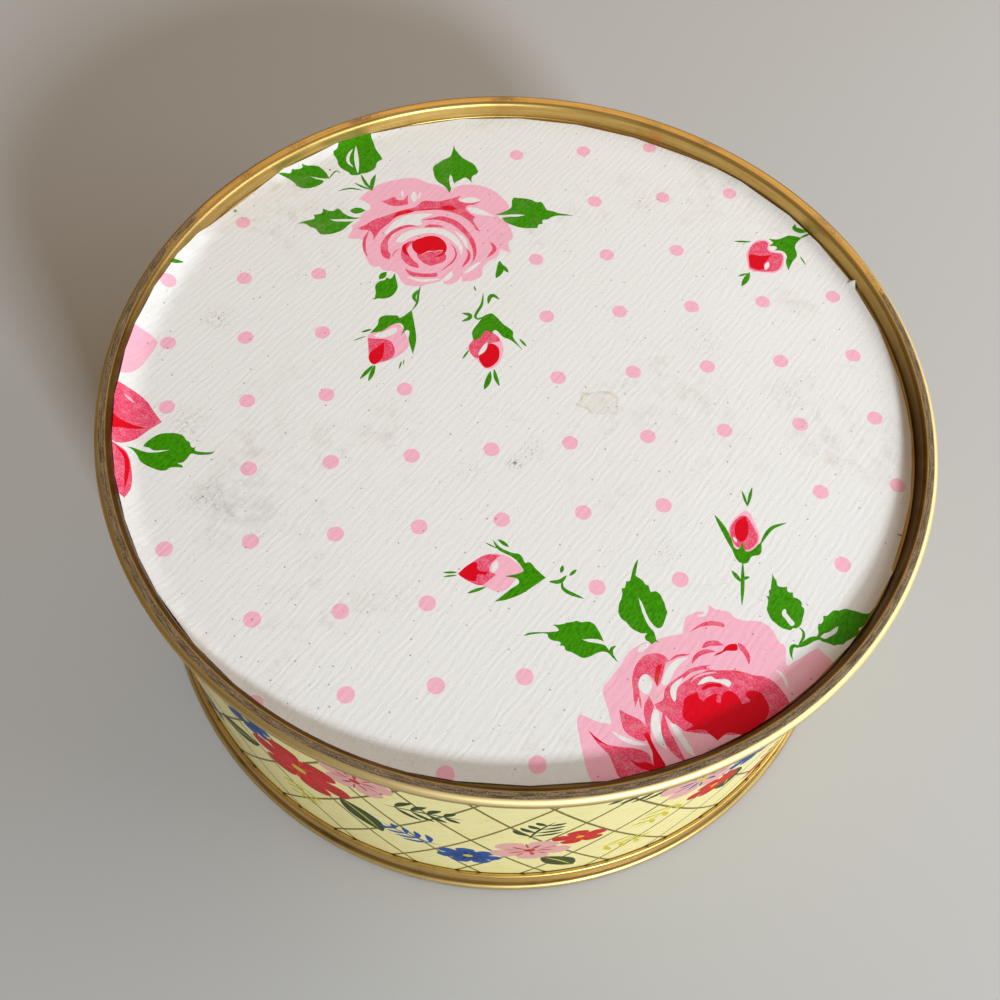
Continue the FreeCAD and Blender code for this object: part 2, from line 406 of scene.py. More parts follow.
    p.patch(GREEN, (334, 93, TIP), (312, 95), (294, 96), (288, 99), (268, 102, TIP), (262, 112), (257, 121),
            (252, 127, TIP), (241, 124), (232, 129), (218, 132), (200, 132), (184, 131, TIP), (182, 118),
            (183, 103), (176, 91), (163, 81), (147, 70, TIP), (165, 72), (182, 76), (200, 79), (218, 79, TIP),
            (200, 72), (176, 68), (163, 63, TIP), (173, 51), (188, 44), (206, 39), (224, 38), (250, 42, TIP),
            (252, 53), (262, 57, TIP), (260, 68), (273, 73), (282, 82), (297, 88), (314, 90))
    p.patch(GREEN, (-312, -20, TIP), (-299, -10), (-281, -2), (-275, 3), (-280, 13, TIP), (-268, 17),
            (-261, 22), (-261, 36, TIP), (-252, 32), (-237, 31), (-228, 41, TIP), (-221, 38), (-211, 28),
            (-198, 21), (-181, 18), (-166, 20, TIP), (-181, 13), (-209, 9), (-225, 6), (-240, 4, TIP),
            (-225, 0), (-209, 2), (-192, 4), (-183, 7, TIP), (-189, -1), (-195, -10), (-203, -23), (-217, -34),
            (-234, -42), (-252, -44), (-261, -37, TIP), (-268, -29), (-281, -25), (-290, -19), (-299, -17))
    p.patch(GREEN, (-65, -136, TIP), (-61, -152), (-56, -165), (-53, -180), (-57, -195), (-65, -207),
            (-79, -214), (-94, -216), (-103, -221, TIP), (-100, -212), (-101, -195), (-104, -185),
            (-103, -175), (-96, -165), (-85, -160), (-82, -151, TIP), (-77, -155), (-71, -153))
    p.patch(GREEN, (-196, 37), (-190, 46), (-176, 50), (-160, 43, TIP), (-171, 34), (-184, 30))
    p.stroke(GREEN, 15, (-85, -136), (-98, -160))
    p.stroke(GREEN, 8, (-190, 158), (-172, 128), (-152, 110))
    p.stroke(GREEN, 11, (-154, 162), (-158, 136), (-156, 108))
    p.stroke(GREEN, 6, (-152, 110), (-178, 117), (-202, 128))
    p.stroke(GREEN, 5, (-175, 106), (-208, 108), (-236, 95))
    p.stroke(GREEN, 4, (-264, 130), (-250, 160), (-238, 152))
    p.stroke(GREEN, 17, (170, -70), (174, -95), (167, -123))
    p.stroke(GREEN, 10, (174, -79), (194, -103))


# %% [markdown]
# The second rose runs off the disc at the front right. It is seen more from the side, so its folds fan out
# from a wide, ragged heart.

# %% The rose that the rim cuts
def cut_rose(p):
    p.start(41.0, -62.3, tenth)
    p.patch(PINK, (149, 60, TIP), (185, 87), (212, 106, TIP), (240, 80, TIP), (200, 20, TIP), (165, -10, TIP),
            (152, 20))
    p.patch(PINK, (0, 173, TIP), (12, 165), (38, 162), (52, 151), (72, 147), (98, 149), (118, 140), (130, 124),
            (136, 110), (146, 104), (150, 90), (148, 74), (152, 58), (158, 20), (160, -10), (150, -60), (60, -130),
            (-60, -190), (-180, -230), (-216, -190), (-230, -150), (-240, -112), (-244, -92), (-240, -76, TIP),
            (-226, -80), (-206, -87), (-181, -89, TIP), (-186, -66), (-194, -46), (-200, -27, TIP), (-196, -15),
            (-188, -4), (-180, 10), (-167, 30), (-160, 45), (-146, 64), (-127, 79, TIP), (-112, 81), (-92, 92),
            (-70, 100), (-50, 106, TIP), (-49, 123), (-44, 141), (-30, 152), (-14, 157), (-3, 153, TIP))
    p.stroke(PAPER, 5, (-24, 146), (-10, 150), (0, 162))
    p.stroke(PAPER, 6, (127, 53), (142, 41), (151, 16))
    p.stroke(PAPER, 11, (-136, 57), (-127, 68), (-114, 78))
    p.patch(ROSE, (-40, 109, TIP), (-26, 122), (-14, 132), (0, 138), (16, 139), (29, 136), (30, 129), (14, 130),
            (-2, 128), (-16, 124), (-28, 117))
    p.patch(ROSE, (-14, 80, TIP), (-8, 92), (4, 98), (18, 98), (29, 91, TIP), (16, 88), (2, 86), (-6, 82))
    p.patch(ROSE, (-33, 45, TIP), (-30, 60), (-20, 72), (-4, 79), (14, 76, TIP), (-2, 71), (-16, 64), (-25, 55))
    p.patch(ROSE, (56, 99, TIP), (66, 96), (75, 84), (80, 70), (77, 55, TIP), (73, 67), (67, 78), (58, 88))
    p.patch(RED, (9, 66, TIP), (16, 73), (26, 79), (32, 88), (40, 94), (47, 96), (54, 96), (55, 84), (44, 81),
            (34, 80), (22, 72))
    p.patch(ROSE, (-137, -52, TIP), (-141, -34), (-143, -16), (-145, -2), (-144, 14), (-138, 34), (-126, 50),
            (-112, 58), (-98, 60), (-84, 56), (-76, 47, TIP), (-82, 42), (-85, 30), (-88, 16), (-92, 2),
            (-97, -7, TIP), (-102, 2), (-110, 12), (-119, 16), (-127, 12), (-132, 2), (-133, -10), (-130, -22),
            (-133, -36))
    p.patch(PAPER, (-120, 15), (-127, 10), (-132, 0), (-132, -12), (-124, -21), (-114, -24), (-108, -12),
            (-107, 0), (-112, 10))
    p.stroke(ROSE, 4, (-131, -24), (-126, -54))
    p.patch(RED, (-89, 39, TIP), (-97, 36), (-102, 22), (-103, 10), (-98, -7, TIP), (-95, 6), (-93, 20))
    p.patch(PAPER, (-89, 2, TIP), (-82, 26), (-72, 42), (-56, 54), (-39, 59, TIP), (-52, 46), (-62, 32), (-70, 16),
            (-76, 2), (-84, -3))
    p.stroke(ROSE, 5, (-78, 45), (-60, 59), (-35, 65))
    p.patch(ROSE, (-102, -42, TIP), (-86, -31), (-83, -12), (-75, 1), (-64, 11), (-50, 23), (-36, 35), (-18, 43),
            (5, 48, TIP), (-4, 41), (10, 38), (30, 40), (50, 42), (70, 40), (88, 36), (104, 36), (120, 30),
            (134, 18), (146, 2), (153, -14), (150, -30), (130, -50), (100, -70), (40, -86), (-44, -88), (-56, -82),
            (-68, -74), (-78, -64), (-88, -56), (-97, -50))
    p.stroke(PINK, 7, (-58, -2), (-44, 14), (-26, 28), (0, 38))
    p.stroke(PINK, 4, (-36, 8), (-20, 23), (4, 32), (18, 33))
    p.stroke(PAPER, 12, (-64, -33), (-66, -8), (-49, 17), belly=0.42)
    p.patch(PAPER, (-22, 5, TIP), (-12, 18), (4, 25), (14, 20), (34, 22), (43, 16), (38, 7, TIP), (24, 13),
            (2, 14), (-12, 8))
    p.patch(RED, (-15, -4, TIP), (-7, 6), (6, 11), (22, 12), (26, 6), (12, 5), (0, 2), (-6, -3))
    p.patch(ROSE, (-112, -26, TIP), (-120, -44), (-121, -62), (-117, -80), (-117, -102), (-108, -106), (-108, -84),
            (-106, -62), (-102, -46, TIP))
    p.patch(PAPER, (-103, -54, TIP), (-97, -52), (-92, -62), (-90, -80), (-86, -94), (-82, -110), (-76, -126, TIP),
            (-90, -118), (-100, -104), (-106, -88), (-107, -70))
    p.stroke(ROSE, 19, (-85, -54), (-80, -90), (-66, -118), (-42, -146), belly=0.55)
    p.patch(PAPER, (-72, -74, TIP), (-60, -78), (-47, -90), (-36, -106), (-24, -134, TIP), (-38, -126), (-52, -108),
            (-64, -92))
    p.stroke(PINK, 6, (-62, -76), (-44, -94), (-28, -120))
    p.patch(ROSE, (-167, -59, TIP), (-162, -84), (-156, -98), (-144, -108), (-124, -115), (-114, -112), (-114, -94),
            (-124, -78), (-140, -70), (-152, -66))
    p.stroke(PAPER, 8, (-180, -102), (-160, -113), (-136, -120), (-112, -121))
    p.patch(ROSE, (-222, -106, TIP), (-206, -118), (-186, -128), (-160, -130), (-136, -130), (-112, -136),
            (-103, -150), (-100, -167), (-130, -182), (-158, -188), (-172, -168), (-182, -148), (-202, -130))
    p.stroke(RED, 4, (-222, -106), (-206, -120), (-186, -130))
    p.patch(RED, (-121, -101, TIP), (-112, -98), (-104, -114), (-96, -128), (-86, -142), (-77, -156, TIP),
            (-97, -160), (-101, -150), (-103, -134), (-112, -116))
    p.patch(RED, (-146, -150, TIP), (-128, -156), (-112, -153), (-96, -158), (-78, -156, TIP), (-90, -168),
            (-112, -168), (-130, -162))
    p.patch(RED, (-48, -42), (-45, -25), (-34, -16), (-21, -9, TIP), (-18, -20), (-10, -27, TIP), (-4, -19),
            (6, -12), (17, -7, TIP), (15, -24), (22, -26, TIP), (24, -14), (30, -4), (40, 0), (50, -4), (58, -13),
            (62, -23, TIP), (71, -21), (79, -15), (71, -8), (72, 1), (84, 5), (98, 3), (106, -6), (112, -18),
            (114, -30), (107, -48), (96, -60), (80, -74), (62, -84), (48, -81), (36, -82), (28, -88), (17, -99, TIP),
            (8, -92), (0, -87), (-6, -82), (-20, -82), (-45, -88, TIP), (-36, -81), (-29, -75), (-44, -66),
            (-49, -54))
    p.patch(GREEN, (-142, 257, TIP), (-144, 237), (-146, 220), (-142, 217, TIP), (-131, 210), (-126, 203),
            (-120, 201, TIP), (-117, 193), (-115, 187, TIP), (-110, 189), (-104, 190, TIP), (-96, 184),
            (-92, 176), (-87, 166), (-85, 158), (-81, 148, TIP), (-84, 137), (-87, 126), (-91, 116), (-98, 112),
            (-106, 116), (-116, 128), (-123, 142), (-130, 159), (-139, 173, TIP), (-136, 162), (-131, 145),
            (-124, 128), (-116, 114), (-106, 103), (-103, 94), (-101, 87), (-94, 82, TIP), (-103, 83),
            (-110, 77, TIP), (-114, 81), (-121, 85), (-124, 92), (-119, 99, TIP), (-131, 98), (-142, 102),
            (-151, 107), (-160, 117), (-170, 124), (-176, 134), (-177, 144), (-176, 156), (-172, 167),
            (-171, 178), (-173, 189, TIP), (-167, 190), (-165, 197), (-164, 205, TIP), (-157, 207), (-155, 217),
            (-151, 237), (-147, 249))
    p.patch(GREEN, (-357, 67, TIP), (-349, 74), (-339, 77), (-314, 80), (-298, 83), (-290, 87), (-302, 97, TIP),
            (-292, 98), (-281, 101), (-277, 104, TIP), (-264, 107), (-257, 110), (-248, 108), (-234, 111),
            (-223, 107), (-217, 100), (-210, 89), (-202, 73, TIP), (-214, 76), (-231, 75), (-244, 72, TIP),
            (-231, 69), (-214, 68), (-199, 65), (-192, 57), (-181, 46), (-173, 33, TIP), (-184, 42), (-194, 51),
            (-203, 52), (-214, 48), (-226, 40), (-239, 35), (-251, 39), (-262, 44), (-274, 47), (-278, 55),
            (-286, 55, TIP), (-285, 62), (-298, 64), (-308, 68), (-311, 76, TIP), (-318, 77), (-338, 73))
    p.patch(GREEN, (127, 255, TIP), (130, 248), (135, 240), (137, 230), (147, 228), (156, 230, TIP), (156, 221),
            (160, 218), (167, 219, TIP), (168, 209), (174, 207, TIP), (181, 203), (184, 196), (183, 191, TIP),
            (188, 186), (188, 178), (185, 167), (183, 158), (179, 149), (171, 142), (165, 142), (160, 137),
            (150, 138), (142, 140), (131, 148), (122, 156), (117, 167), (114, 176), (116, 187), (117, 198),
            (113, 205, TIP), (119, 205), (119, 217, TIP), (123, 221), (124, 232), (126, 243))
    p.patch(PAPER, (162, 146), (168, 152), (160, 163), (153, 173), (151, 181), (146, 178), (144, 168),
            (151, 159), (157, 150))
    p.patch(GREEN, (210, 129, TIP), (214, 137), (213, 148, TIP), (215, 156, TIP), (222, 159), (225, 166),
            (225, 175, TIP), (233, 176), (241, 184), (247, 189), (258, 190), (269, 195), (278, 194), (292, 192),
            (306, 189), (317, 191), (326, 202), (340, 212), (344, 205), (328, 187), (317, 176), (306, 163),
            (294, 156, TIP), (292, 144), (281, 134), (269, 126), (261, 118, TIP), (251, 117), (244, 114, TIP),
            (231, 118), (219, 121))
    p.patch(PAPER, (216, 128, TIP), (225, 137), (236, 142), (244, 149), (254, 156, TIP), (250, 143),
            (239, 134), (226, 126))
    p.stroke(GREEN, 7, (-183, 44), (-187, 58), (-178, 67))
    p.stroke(GREEN, 8, (162, 74), (159, 89), (163, 104), (178, 104), belly=0.6)
    p.stroke(GREEN, 11, (168, 101), (186, 112), (204, 124), (224, 127))
    p.stroke(GREEN, 6, (176, 145), (184, 137), (184, 124), (174, 108))


# %% [markdown]
# Buds hang from the roses or lie loose among the dots. Each is a small flower of the same four inks in a
# green calyx.

# %% The five buds
def hanging_bud(p):
    p.start(-30.1, 10.5, tenth)
    p.patch(PINK, (-49, 7), (-44, 20), (-18, 38), (11, 54), (24, 44), (35, 25), (45, -2), (35, -25), (11, -47),
            (-24, -64, TIP), (-38, -47), (-44, -15))
    p.patch(ROSE, (-47, 5, TIP), (-25, 6), (-9, 7), (7, 0), (17, -29), (7, -47), (-24, -62, TIP), (-38, -36))
    p.patch(RED, (-10, -1, TIP), (-7, -33), (-11, -51), (-24, -64), (-37, -51), (-36, -33), (-24, -18))
    p.patch(PAPER, (-37, 15, TIP), (-9, 31), (10, 42), (12, 30), (-5, 15), (-24, 9))
    p.patch(GREEN, (38, 95, TIP), (15, 70), (9, 76, TIP), (-17, 73), (-30, 64), (-32, 44), (-45, 20, TIP),
            (-20, 28), (-1, 47), (17, 55), (27, 44), (24, 22, TIP), (38, 38), (42, 13), (57, -27, TIP),
            (59, 15), (49, 58))
    p.stroke(GREEN, 6, (38, 92), (47, 116), (47, 142), (49, 169))
    p.stroke(GREEN, 9, (46, 156), (38, 135), (45, 118))
    p.stroke(GREEN, 9, (-24, -65), (-35, -84), (-48, -107))
    p.stroke(GREEN, 10, (-21, -65), (-24, -87), (-29, -110))
    p.stroke(GREEN, 3, (-51, 11), (-80, -7))
    p.stroke(GREEN, 6, (-42, 31), (-65, 19))
    p.stroke(GREEN, 3, (40, -42), (39, -58))
    p.stroke(GREEN, 4, (35, -47), (32, -70))


def closed_bud(p):
    p.start(-8.6, 11.2, tenth)
    p.patch(PINK, (-7, 53), (25, 36), (38, 7), (36, -22), (24, -45), (7, -53), (-13, -36), (-25, -24), (-38, -7),
            (-38, 11), (-22, 33))
    p.patch(ROSE, (-5, 51), (25, 36), (27, 25), (10, 18), (-6, -18), (-20, -26), (-36, -7), (-36, 11))
    p.patch(RED, (7, 16), (24, 11), (31, -7), (28, -30), (7, -50), (-9, -36), (-13, -22), (-4, -5))
    p.stroke(PAPER, 11, (1, 19), (-5, 0), (-15, -19))
    p.patch(GREEN, (1, 101), (16, 91), (31, 75), (55, 56), (57, 40), (82, 7, TIP), (53, 31), (35, 38), (16, 55),
            (7, 45, TIP), (-4, 51), (-17, 29), (-30, 20, TIP), (-35, 44), (-25, 69), (-15, 87))
    p.stroke(GREEN, 7, (-6, 98), (-24, 82), (-33, 88), (-22, 124), (-22, 158))
    p.stroke(GREEN, 13, (16, -58), (13, -84), (7, -108))
    p.stroke(GREEN, 9, (23, -51), (29, -73), (39, -95))
    p.stroke(GREEN, 5, (-36, -5), (-49, -33))
    p.stroke(GREEN, 6, (71, 38), (89, 18))
    p.stroke(GREEN, 10, (17, 143), (-2, 152), (-8, 126))
    p.stroke(GREEN, 10, (-65, 94), (-44, 87), (-62, 69))
    p.stroke(GREEN, 4, (-45, 175), (-39, 160))


def round_bud(p):
    p.start(54.2, 46.3, tenth)
    p.patch(PINK, (-5, 54), (10, 47), (9, 24), (23, 19), (41, 16), (44, -5), (40, -27), (20, -47), (-9, -48),
            (-36, -47), (-43, -23), (-45, 2), (-36, 27), (-23, 45))
    p.patch(ROSE, (-7, 49), (7, 45), (5, 25), (14, 16), (39, 12), (40, -9), (32, -32), (16, -43), (-34, -42),
            (-40, -18), (-40, 5), (-30, 34))
    p.patch(RED, (-37, 2), (-14, 2), (12, 7, TIP), (3, -11), (-5, -23), (-6, -39), (-33, -37), (-38, -18))
    p.stroke(PAPER, 11, (7, -14), (-1, -40))
    p.patch(GREEN, (9, 58, TIP), (30, 59), (60, 75), (89, 72, TIP), (72, 45), (75, 14), (64, -7), (53, -35, TIP),
            (48, -9), (51, 9), (41, 23), (23, 23, TIP), (28, 34), (9, 36, TIP), (20, 47, TIP))
    p.stroke(GREEN, 6, (84, 70), (100, 81), (114, 86))
    p.stroke(GREEN, 14, (74, 112), (74, 98), (102, 90))
    p.stroke(GREEN, 6, (-75, 39), (-32, 43))
    p.stroke(GREEN, 4, (82, 13), (95, -13))
    p.stroke(GREEN, 13, (-38, -52), (-47, -75), (-58, -97))
    p.stroke(GREEN, 6, (-43, -56), (-66, -68))


def lying_bud(p):
    p.start(-2.3, -43.1, tenth)
    p.patch(PINK, (-64, -8, TIP), (-39, 20), (-15, 39), (12, 45), (36, 38), (64, 12), (50, -9), (39, -27),
            (21, -38), (0, -33), (-18, -27), (-48, -19))
    p.patch(ROSE, (-62, -8, TIP), (-38, 20), (-11, 40), (16, 42, TIP), (0, 21), (-2, 5), (12, -1, TIP), (0, -14),
            (-15, -28), (-45, -20))
    p.patch(RED, (-63, -8, TIP), (-47, 12), (-30, 21), (-25, 5), (-5, 2, TIP), (-8, -4), (-24, -5), (-28, -20),
            (-56, -14))
    p.stroke(PAPER, 13, (10, 30), (8, 17), (5, 3))
    p.patch(GREEN, (110, 3, TIP), (89, 20), (76, 33), (67, 30, TIP), (55, 48), (39, 50), (15, 59), (-3, 76, TIP),
            (9, 55), (44, 38), (61, 20), (64, 11), (30, -3, TIP), (58, -10), (42, -30), (14, -60, TIP),
            (39, -52), (67, -36), (91, -15))
    p.stroke(GREEN, 3, (-18, 67), (9, 56))
    p.stroke(GREEN, 8, (8, 77), (32, 62))
    p.stroke(GREEN, 5, (-94, -9), (-64, -5))
    p.stroke(GREEN, 4, (-92, -18), (-64, -11))
    p.stroke(GREEN, 7, (-5, -30), (-41, -48))
    p.stroke(GREEN, 9, (116, -5), (138, -2), (151, 13))
    p.stroke(GREEN, 8, (142, 2), (147, -18), (188, -34))
    p.stroke(GREEN, 8, (142, 34), (139, 16))
    p.stroke(GREEN, 7, (170, 28), (156, 12))


def upright_bud(p):
    p.start(48.0, -29.6, tenth)
    p.patch(PINK, (9, 65), (23, 41), (33, 9), (25, -18), (7, -28), (-20, -18), (-30, 5), (-25, 34), (-7, 57))
    p.patch(ROSE, (2, 54), (20, 32), (30, 5), (18, -18), (2, -25), (-18, -15), (-27, 9), (-23, 31))
    p.patch(RED, (5, 54, TIP), (11, 27), (5, 0), (-7, -7), (-17, 9), (-14, 36))
    p.stroke(PAPER, 6, (-21, 2), (-13, -10))
    p.patch(GREEN, (-24, -16, TIP), (-11, -25), (-2, -7, TIP), (7, -28), (37, -2, TIP), (34, -30), (16, -39),
            (7, -54), (-9, -54), (-21, -34))
    p.stroke(GREEN, 12, (-18, -34), (-36, 9), (-59, 49))
    p.stroke(GREEN, 8, (32, -12), (57, 30), (90, 48))
    p.stroke(GREEN, 8, (-2, -50), (-3, -105), (-5, -149))
    p.stroke(GREEN, 9, (-5, -98), (-25, -74))
    p.stroke(GREEN, 7, (-5, -91), (12, -84))
    p.stroke(GREEN, 6, (9, 77), (-2, 113))
    p.stroke(GREEN, 7, (9, 76), (20, 124))


# %% [markdown]
# At the left the rim cuts off one more flower, and dots fill the ground on a slanted grid wherever no
# flower lies.

# %% The left edge and the dots
dot_start, dot_across, dot_up = (-50.28, -41.56), (16.373, 3.561), (-3.698, 16.436)
dot_radius = 1.7
dot_rows = {
    6: (4, 5, 6), 5: (0, 5, 6, 7), 4: (-1, 0, 1, 4, 5, 6), 3: (-1, 0, 1, 4, 5, 6, 7, 8),
    2: (-1, 0, 1, 2, 4, 5, 6, 7, 8), 1: (0, 1, 2, 3, 4, 5, 6, 7, 8), 0: (-1, 0, 1, 2, 3, 4, 5, 7, 8),
    -1: (0, 1, 2, 4, 5, 7), -2: (0, 1, 2, 3), -3: (2, 3),
}


def left_edge(p):
    p.start(-79.9, -16.9, tenth)
    p.patch(ROSE, (-65, 81), (-23, 78), (14, 55), (36, 30), (57, 8, TIP), (34, -16), (9, -45), (-23, -60),
            (-55, -30), (-75, 20))
    p.patch(RED, (-50, 8), (-27, -1), (30, -11, TIP), (-14, -20), (-45, -26))
    p.stroke(PINK, 6, (-34, 62), (-10, 47))
    p.patch(ROSE, (-25, -61, TIP), (5, -75), (25, -114), (35, -155), (30, -184, TIP), (-2, -160), (-30, -105))
    p.stroke(RED, 9, (-20, -64), (9, -91), (25, -161))
    p.patch(PINK, (-75, 232), (-27, 230), (0, 210, TIP), (-11, 168), (-36, 118), (-80, 114))
    p.stroke(GREEN, 10, (6, 434), (-36, 420))
    p.stroke(GREEN, 6, (-45, 424), (-24, 404))
    p.stroke(GREEN, 10, (-46, 380), (-43, 340))
    p.patch(GREEN, (2, -62, TIP), (12, -61), (23, -63), (37, -67), (51, -68), (68, -65), (82, -60),
            (89, -57, TIP), (73, -60), (58, -62), (46, -57), (33, -55, TIP), (37, -45), (46, -33), (59, -22),
            (76, -17), (96, -16), (109, -20), (118, -30), (125, -33), (129, -41), (134, -46), (141, -44, TIP),
            (140, -51), (148, -54), (162, -54), (176, -52), (183, -49, TIP), (176, -57), (165, -60), (151, -62),
            (135, -61), (132, -67), (128, -76), (122, -84), (112, -86, TIP), (118, -89), (123, -90),
            (126, -96, TIP), (117, -96), (107, -97), (100, -99), (93, -106), (82, -108), (68, -105), (51, -99),
            (37, -91), (26, -77), (15, -67))


def dots(p):
    p.start(0, 0, 1)
    for up, row in dot_rows.items():
        for across in row:
            x, y = (dot_start[n] + across * dot_across[n] + up * dot_up[n] for n in (0, 1))
            p.dot(PINK, x, y, dot_radius)


disc_print = Print()
motifs = (dots, full_rose, cut_rose, hanging_bud, closed_bud, round_bud, lying_bud, upright_bud, left_edge)
for motif in motifs:
    motif(disc_print)
print(f"the disc's print has {len(disc_print.shapes)} shapes")

# %% [markdown]
# ## From shapes to a mesh
# Blender's constrained triangulation cuts overlapping outlines into one flat mesh and says which shapes
# each triangle lies in. The shape that was laid on last decides its ink, kept as a colour on the face's
# corners. So the print has true edges at any distance, with no image and no paint map.

# %% Triangles with inks
printed, extra = "printed", "extra"


def linear(colour):
    """A screen colour of 0 to 255 as linear light of 0 to 1."""
    shares = [c / 255 for c in colour]
    return [s / 12.92 if s <= 0.04045 else ((s + 0.055) / 1.055) ** 2.4 for s in shares]


def area(outline):
    """The signed area of an outline, above zero where it runs counterclockwise."""
    return sum(a[0] * b[1] - b[0] * a[1] for a, b in zip(outline, outline[1:] + outline[:1])) / 2


def cut_to_triangles(outline, shapes, ground, points=(), lines=()):
    """Triangles inside the outline, and the ink of each. Points and lines are kept as vertices and edges."""
    corners, edges, faces = [], [], []
    for ring in [outline] + [shape for _, shape in shapes]:
        ring = ring if area(ring) > 0 else ring[::-1]
        faces.append(list(range(len(corners), len(corners) + len(ring))))
        corners += ring
    for line in lines:
        edges.append((len(corners), len(corners) + 1))
        corners += line
    corners += points
    places, _, triangles, _, _, origins = delaunay_2d_cdt(
        [Vector(c) for c in corners], edges, faces, 1, 1e-5, True)
    inks = [ground] + [ink for ink, _ in shapes]
    kept = []
    for triangle, lies_in in zip(triangles, origins):
        if 0 in lies_in:
            upward = area([places[corner] for corner in triangle]) > 0
            kept.append((triangle if upward else triangle[::-1], inks[max(lies_in)]))
    return places, kept


def printed_mesh(name, places, kept, put, extra_ink):
    """A mesh object of the triangles, placed by a function, with its inks on its corners."""
    mesh = bpy.data.meshes.new(name)
    used = sorted({corner for triangle, _ in kept for corner in triangle})
    number = {old: new for new, old in enumerate(used)}
    faces = [[number[corner] for corner in triangle] for triangle, _ in kept]
    mesh.from_pydata([put(*places[old]) for old in used], [], faces)
    inks = {ink: (*linear(colour), 1) for ink, colour in ink_colours.items()}
    colours = [value for _, ink in kept for value in inks[ink] * 3]
    marks = [float(ink == extra_ink) for _, ink in kept for _ in range(3)]
    mesh.color_attributes.new(printed, "FLOAT_COLOR", "CORNER").data.foreach_set("color", colours)
    mesh.attributes.new(extra, "FLOAT", "CORNER").data.foreach_set("value", marks)
    piece = bpy.data.objects.new(name, mesh)
    bpy.context.scene.collection.objects.link(piece)
    bpy.ops.object.select_all(action="DESELECT")
    piece.select_set(True)
    bpy.context.view_layer.objects.active = piece
    print(f"{name}: {len(mesh.vertices)} vertices, {len(mesh.polygons)} triangles")
    return piece


# %% [markdown]
# ## The disc
# Someone cut the disc out with scissors: its edge is short, nearly straight cuts with a few nicks and a
# tear. It is a little too wide for the recess, so its edge climbs the chuck wall at the left, and it lies
# in very slight waves. A grid of spare points lets the sheet bend smoothly between the shapes.

# %% Cut out and lay the disc
edge_cuts = (  # angle in degrees, radius and climb up the chuck wall in millimetres
    (-180, 85.57, 2.1), (-172, 85.59, 2.2), (-165, 85.57, 2.1), (-159, 85.53, 1.8), (-152, 85.46, 1.3),
    (-146, 85.43, 1.1), (-140, 85.43, 1.1), (-131, 85.41, 1.0), (-123.7, 85.37, 0.7), (-123, 85.32, 0.5),
    (-118, 85.29, 0.4), (-113, 85.26, 0.4), (-107, 85.24, 0.3), (-100, 85.16, 0.2), (-93, 84.78, 0.15),
    (-84, 84.62, 0.1), (-76, 84.66, 0.1), (-74.6, 84.95, 0.2), (-68, 84.80, 0.15), (-62, 85.00, 0.2),
    (-55, 85.08, 0.3), (-50, 84.98, 0.2), (-44, 84.92, 0.2), (-38, 84.86, 0.2), (-36.5, 85.02, 0.3),
    (-31, 84.88, 0.1), (-24.4, 84.94, 0.1), (-23.6, 85.02, 0.3), (-22.8, 84.60, 0.0), (-17.4, 84.44, 0.0),
    (-17.3, 83.05, 0.0), (-17.1, 84.44, 0.0), (-11, 84.68, 0.0), (-5, 84.52, 0.0), (0, 84.70, 0.0),
    (5, 84.52, 0.0), (10, 84.50, 0.0), (20, 84.70, 0.0), (27.6, 84.62, 0.1), (28.8, 85.41, 1.0),
    (29.4, 84.72, 0.2), (38, 84.88, 0.2), (45, 84.95, 0.4), (55, 84.95, 0.4), (60, 84.85, 0.2),
    (65, 84.45, 0.0), (75, 84.32, 0.0), (85, 84.35, 0.0), (95, 84.55, 0.0), (105, 84.78, 0.1),
    (115, 84.85, 0.2), (122, 85.34, 0.5), (127, 85.40, 0.9), (137, 85.39, 0.8), (141, 85.10, 0.2),
    (147, 84.75, 0.1), (152, 85.16, 0.2), (156, 85.46, 1.3), (161, 85.55, 1.9), (168, 85.56, 2.0),
    (175, 85.57, 2.1), (180, 85.57, 2.1),
)
point_step = 2.2


def ring_point(radius, angle):
    return radius * math.cos(math.radians(angle)), radius * math.sin(math.radians(angle))


def disc_edge():
    """The scissor cuts, with a point every couple of millimetres."""
    corners = [ring_point(radius, angle) for angle, radius, _ in edge_cuts[:-1]]
    edge = []
    for a, b in zip(corners, corners[1:] + corners[:1]):
        pieces = max(1, round(math.dist(a, b) / point_step))
        edge += [(a[0] + (b[0] - a[0]) * k / pieces, a[1] + (b[1] - a[1]) * k / pieces) for k in range(pieces)]
    return edge


def ease(value, start, end):
    """Rises smoothly from 0 to 1 as the value goes from start to end."""
    t = min(1, max(0, (value - start) / (end - start)))
    return t * t * (3 - 2 * t)


def edge_at(angle):
    """The disc's edge radius and its climb at an angle."""
    for (first, r1, c1), (last, r2, c2) in zip(edge_cuts, edge_cuts[1:]):
        if angle <= last:
            t = (angle - first) / (last - first)
            return r1 + (r2 - r1) * t, c1 + (c2 - c1) * ease(t, 0, 1)


def lie(x, y):
    """Where a point of the flat disc lies once it is stuck down."""
    radius, angle = math.hypot(x, y), math.degrees(math.atan2(y, x))
    edge, climb = edge_at(angle)
    reach = 1.2 + 1.75 * climb
    rise = climb * max(0, 1 - (edge - radius) / reach) ** 1.6
    waves = 0.05 * (1 + math.sin(x / 13 + 1.3 * math.sin(y / 21))) + 0.03 * (1 + math.sin(y / 9 - x / 17))
    return x * mm, y * mm, (paper_top + waves * ease(edge - radius, -1, 6) + rise) * mm


